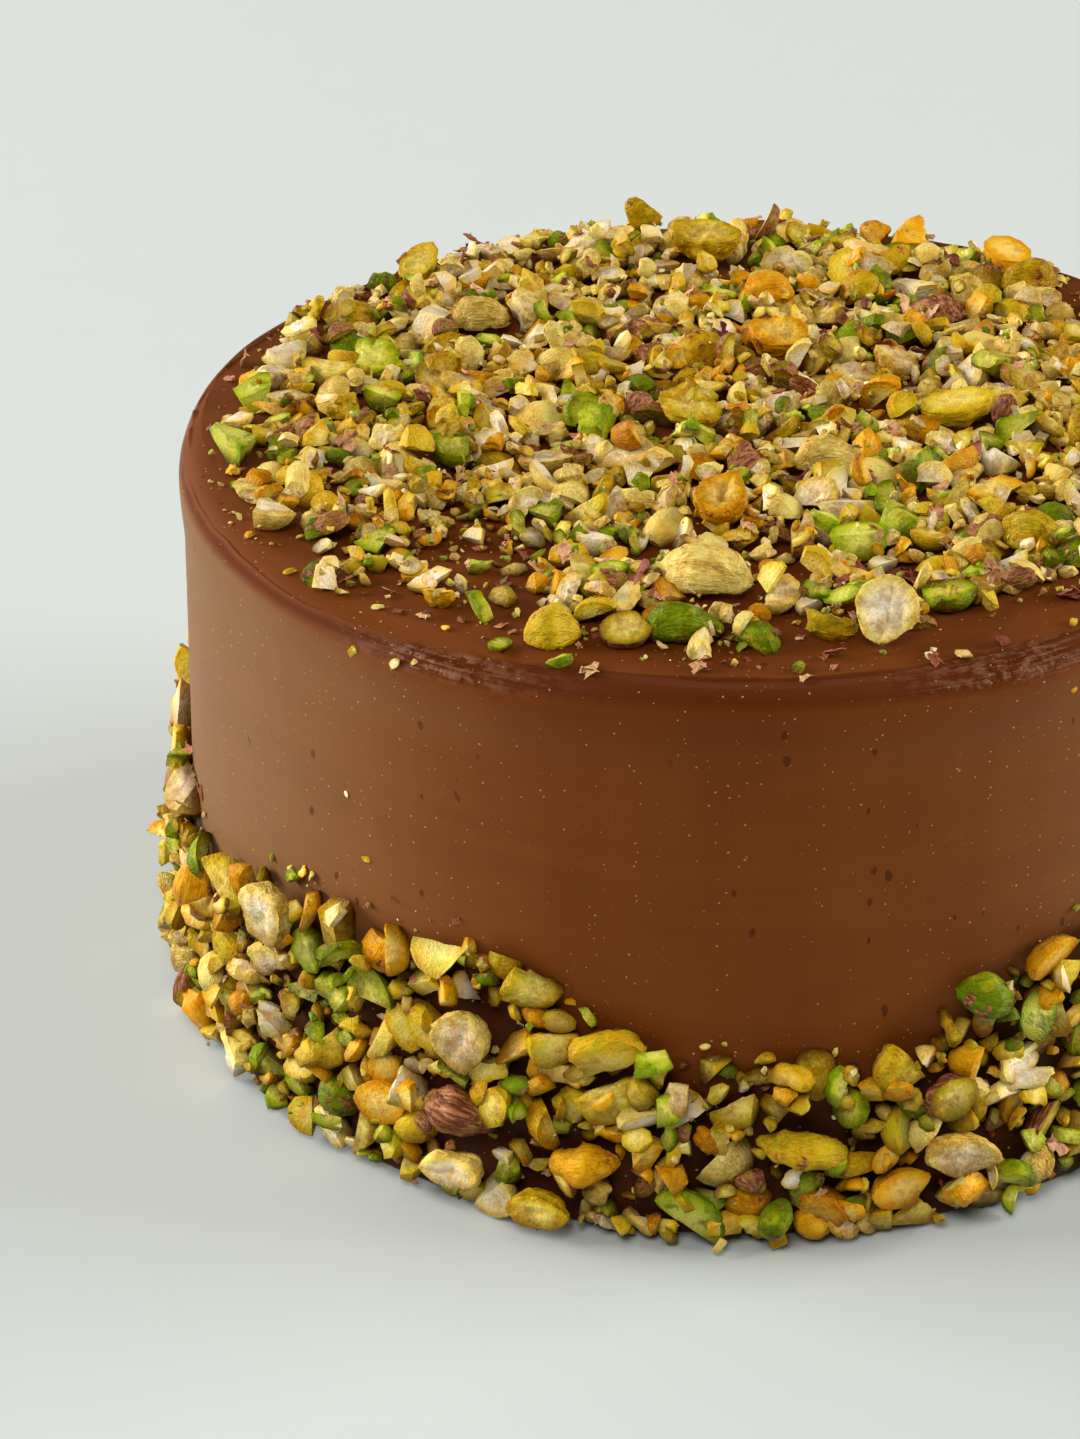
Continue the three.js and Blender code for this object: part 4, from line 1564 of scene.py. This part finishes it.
def small_material(name, colours, roughness):
    """Colours that differ from bit to bit, with a fine mottling."""
    material, nodes, shader = new_material(name)
    mottle = nodes.clouds(nodes.place(), 900.0, 3.0)
    stops = [(index / (len(colours) - 1), linear(*colour)) for index, colour in enumerate(colours)]
    colour = nodes.ramp(nodes.attribute("tone"), stops)
    dark = nodes.mix(1.0, colour, linear(196, 186, 170), blend="MULTIPLY")
    values = {
        "Base Color": nodes.mix(nodes.spread(mottle, 0.35, 0.7), colour, dark),
        "Normal": nodes.bump(mottle, 0.4, 0.2 * MM),
        "Roughness": roughness,
        "Specular IOR Level": 0.15,
    }
    nodes.fill(shader, values)
    return material


def model_small(name, layer, shape, crease, material):
    """All crumbs or all flakes as one piece."""
    parts = []
    for bit in on_both(layer):
        points, triangles = shape(bit.shape % SMALL_SHAPES)
        parts.append((placed_points(bit, points), triangles, {"tone": np.full(len(points), bit.tone)}))
    finished(joined_mesh(name, parts, crease), material, "pistachio", "nut_topping", "nut_border")


class CAKE_OT_small_bits(bpy.types.Operator):
    """Strew the crumbs and the papery skins over both heaps"""

    bl_idname = "cake.small_bits"
    bl_label = "Crumbs and Skins"

    def execute(self, context):
        crumb = small_material("nut_crumbs", CRUMB_COLOURS, 0.6)
        model_small("nut_crumbs", "crumbs", crumb_shape, 30, crumb)
        flake = small_material("skin_flakes", FLAKE_COLOURS, 0.5)
        model_small("skin_flakes", "flakes", flake_shape, 50, flake)
        return {"FINISHED"}


# Stage

# Soft lights on the cake: the place, the size and the power of each
LIGHTS = {
    "key": ((-0.5, -2.5, 3.05), (1.6, 1.6), 75.0),
    "left_window": ((-4.2, 0.5, 1.6), (3.2, 2.2), 290.0),
    "right_window": ((4.2, 0.6, 1.6), (3.0, 2.0), 234.0),
    "rim": ((-2.9, 3.3, 1.5), (2.5, 2.0), 60.0),
}
LIGHT_COLOUR = (1.0, 0.96, 0.88)
LIT_MIDDLE = (0, 0, 0.06)
SKY_STRENGTH = 0.15


def floor_material(settings):
    """A pale matte floor with the faintest grain."""
    material, nodes, shader = new_material("studio_floor")
    grain = nodes.clouds(nodes.place(), 60.0, 4.0)
    soft = tuple(0.985 * c for c in settings.floor_colour)
    values = {
        "Base Color": nodes.mix(grain, soft, settings.floor_colour),
        "Normal": nodes.bump(grain, 0.05, MM),
        "Roughness": 0.75,
    }
    nodes.fill(shader, values)
    return material


def area_light(name, place, size, power):
    """A soft light that looks at the cake."""
    data = bpy.data.lights.new(name, "AREA")
    data.shape = "RECTANGLE"
    data.size, data.size_y = size
    data.energy = power
    data.color = LIGHT_COLOUR
    light = bpy.data.objects.new(name, data)
    light.location = place
    light.rotation_euler = (Vector(LIT_MIDDLE) - Vector(place)).to_track_quat("-Z", "Y").to_euler()
    bpy.context.scene.collection.objects.link(light)
    return light


class CAKE_OT_stage(bpy.types.Operator):
    """Set the floor, the soft lights and the camera"""

    bl_idname = "cake.stage"
    bl_label = "Stage"

    def execute(self, context):
        settings = context.scene.cake_stage
        deselect_all()
        bpy.ops.mesh.primitive_circle_add(vertices=96, radius=9.0, fill_type="NGON")
        floor = context.object
        floor.name = "studio_floor"
        floor.data.materials.append(floor_material(settings))
        world = bpy.data.worlds.new("studio")
        world.use_nodes = True
        sky = world.node_tree.nodes["Background"]
        sky.inputs["Color"].default_value = (*linear(232, 232, 226), 1.0)
        sky.inputs["Strength"].default_value = SKY_STRENGTH
        context.scene.world = world
        lights = {name: area_light(name, *values) for name, values in LIGHTS.items()}
        lights["key"].visible_glossy = False
        data = bpy.data.cameras.new("photo_view")
        data.lens = settings.lens
        camera = bpy.data.objects.new("photo_view", data)
        camera.location = (0, -settings.distance, settings.height)
        camera.rotation_euler = (0.5 * math.pi - settings.pitch, 0, settings.yaw)
        context.scene.collection.objects.link(camera)
        context.scene.camera = camera
        context.scene.view_settings.view_transform = "Standard"
        return {"FINISHED"}


class CAKE_PT_pieces(bpy.types.Panel):
    """Lists the cake's pieces and settings"""

    bl_idname = "CAKE_PT_pieces"
    bl_label = "Pistachio Cake"
    bl_space_type = "VIEW_3D"
    bl_region_type = "UI"
    bl_category = "Cake"

    def draw(self, context):
        for operator in OPERATORS:
            self.layout.operator(operator.bl_idname)
        for name, settings in SETTINGS.items():
            box = self.layout.box()
            for key in settings.__annotations__:
                box.prop(getattr(context.scene, name), key)


OPERATORS = (CAKE_OT_frosting, CAKE_OT_halves, CAKE_OT_chopped_nuts, CAKE_OT_small_bits, CAKE_OT_stage)
SETTINGS = {
    "cake_frosting": FrostingSettings,
    "cake_nuts": NutSettings,
    "cake_stage": StageSettings,
}
CLASSES = (*SETTINGS.values(), *OPERATORS, CAKE_PT_pieces)


def register():
    for kind in CLASSES:
        bpy.utils.register_class(kind)
    for name, settings in SETTINGS.items():
        setattr(bpy.types.Scene, name, bpy.props.PointerProperty(type=settings))


def unregister():
    for name in SETTINGS:
        delattr(bpy.types.Scene, name)
    for kind in reversed(CLASSES):
        bpy.utils.unregister_class(kind)


def main():
    register()
    bpy.ops.cake.frosting()
    bpy.ops.cake.halves()
    bpy.ops.cake.chopped_nuts()
    bpy.ops.cake.small_bits()
    bpy.ops.cake.stage()


if __name__ == "__main__":
    main()
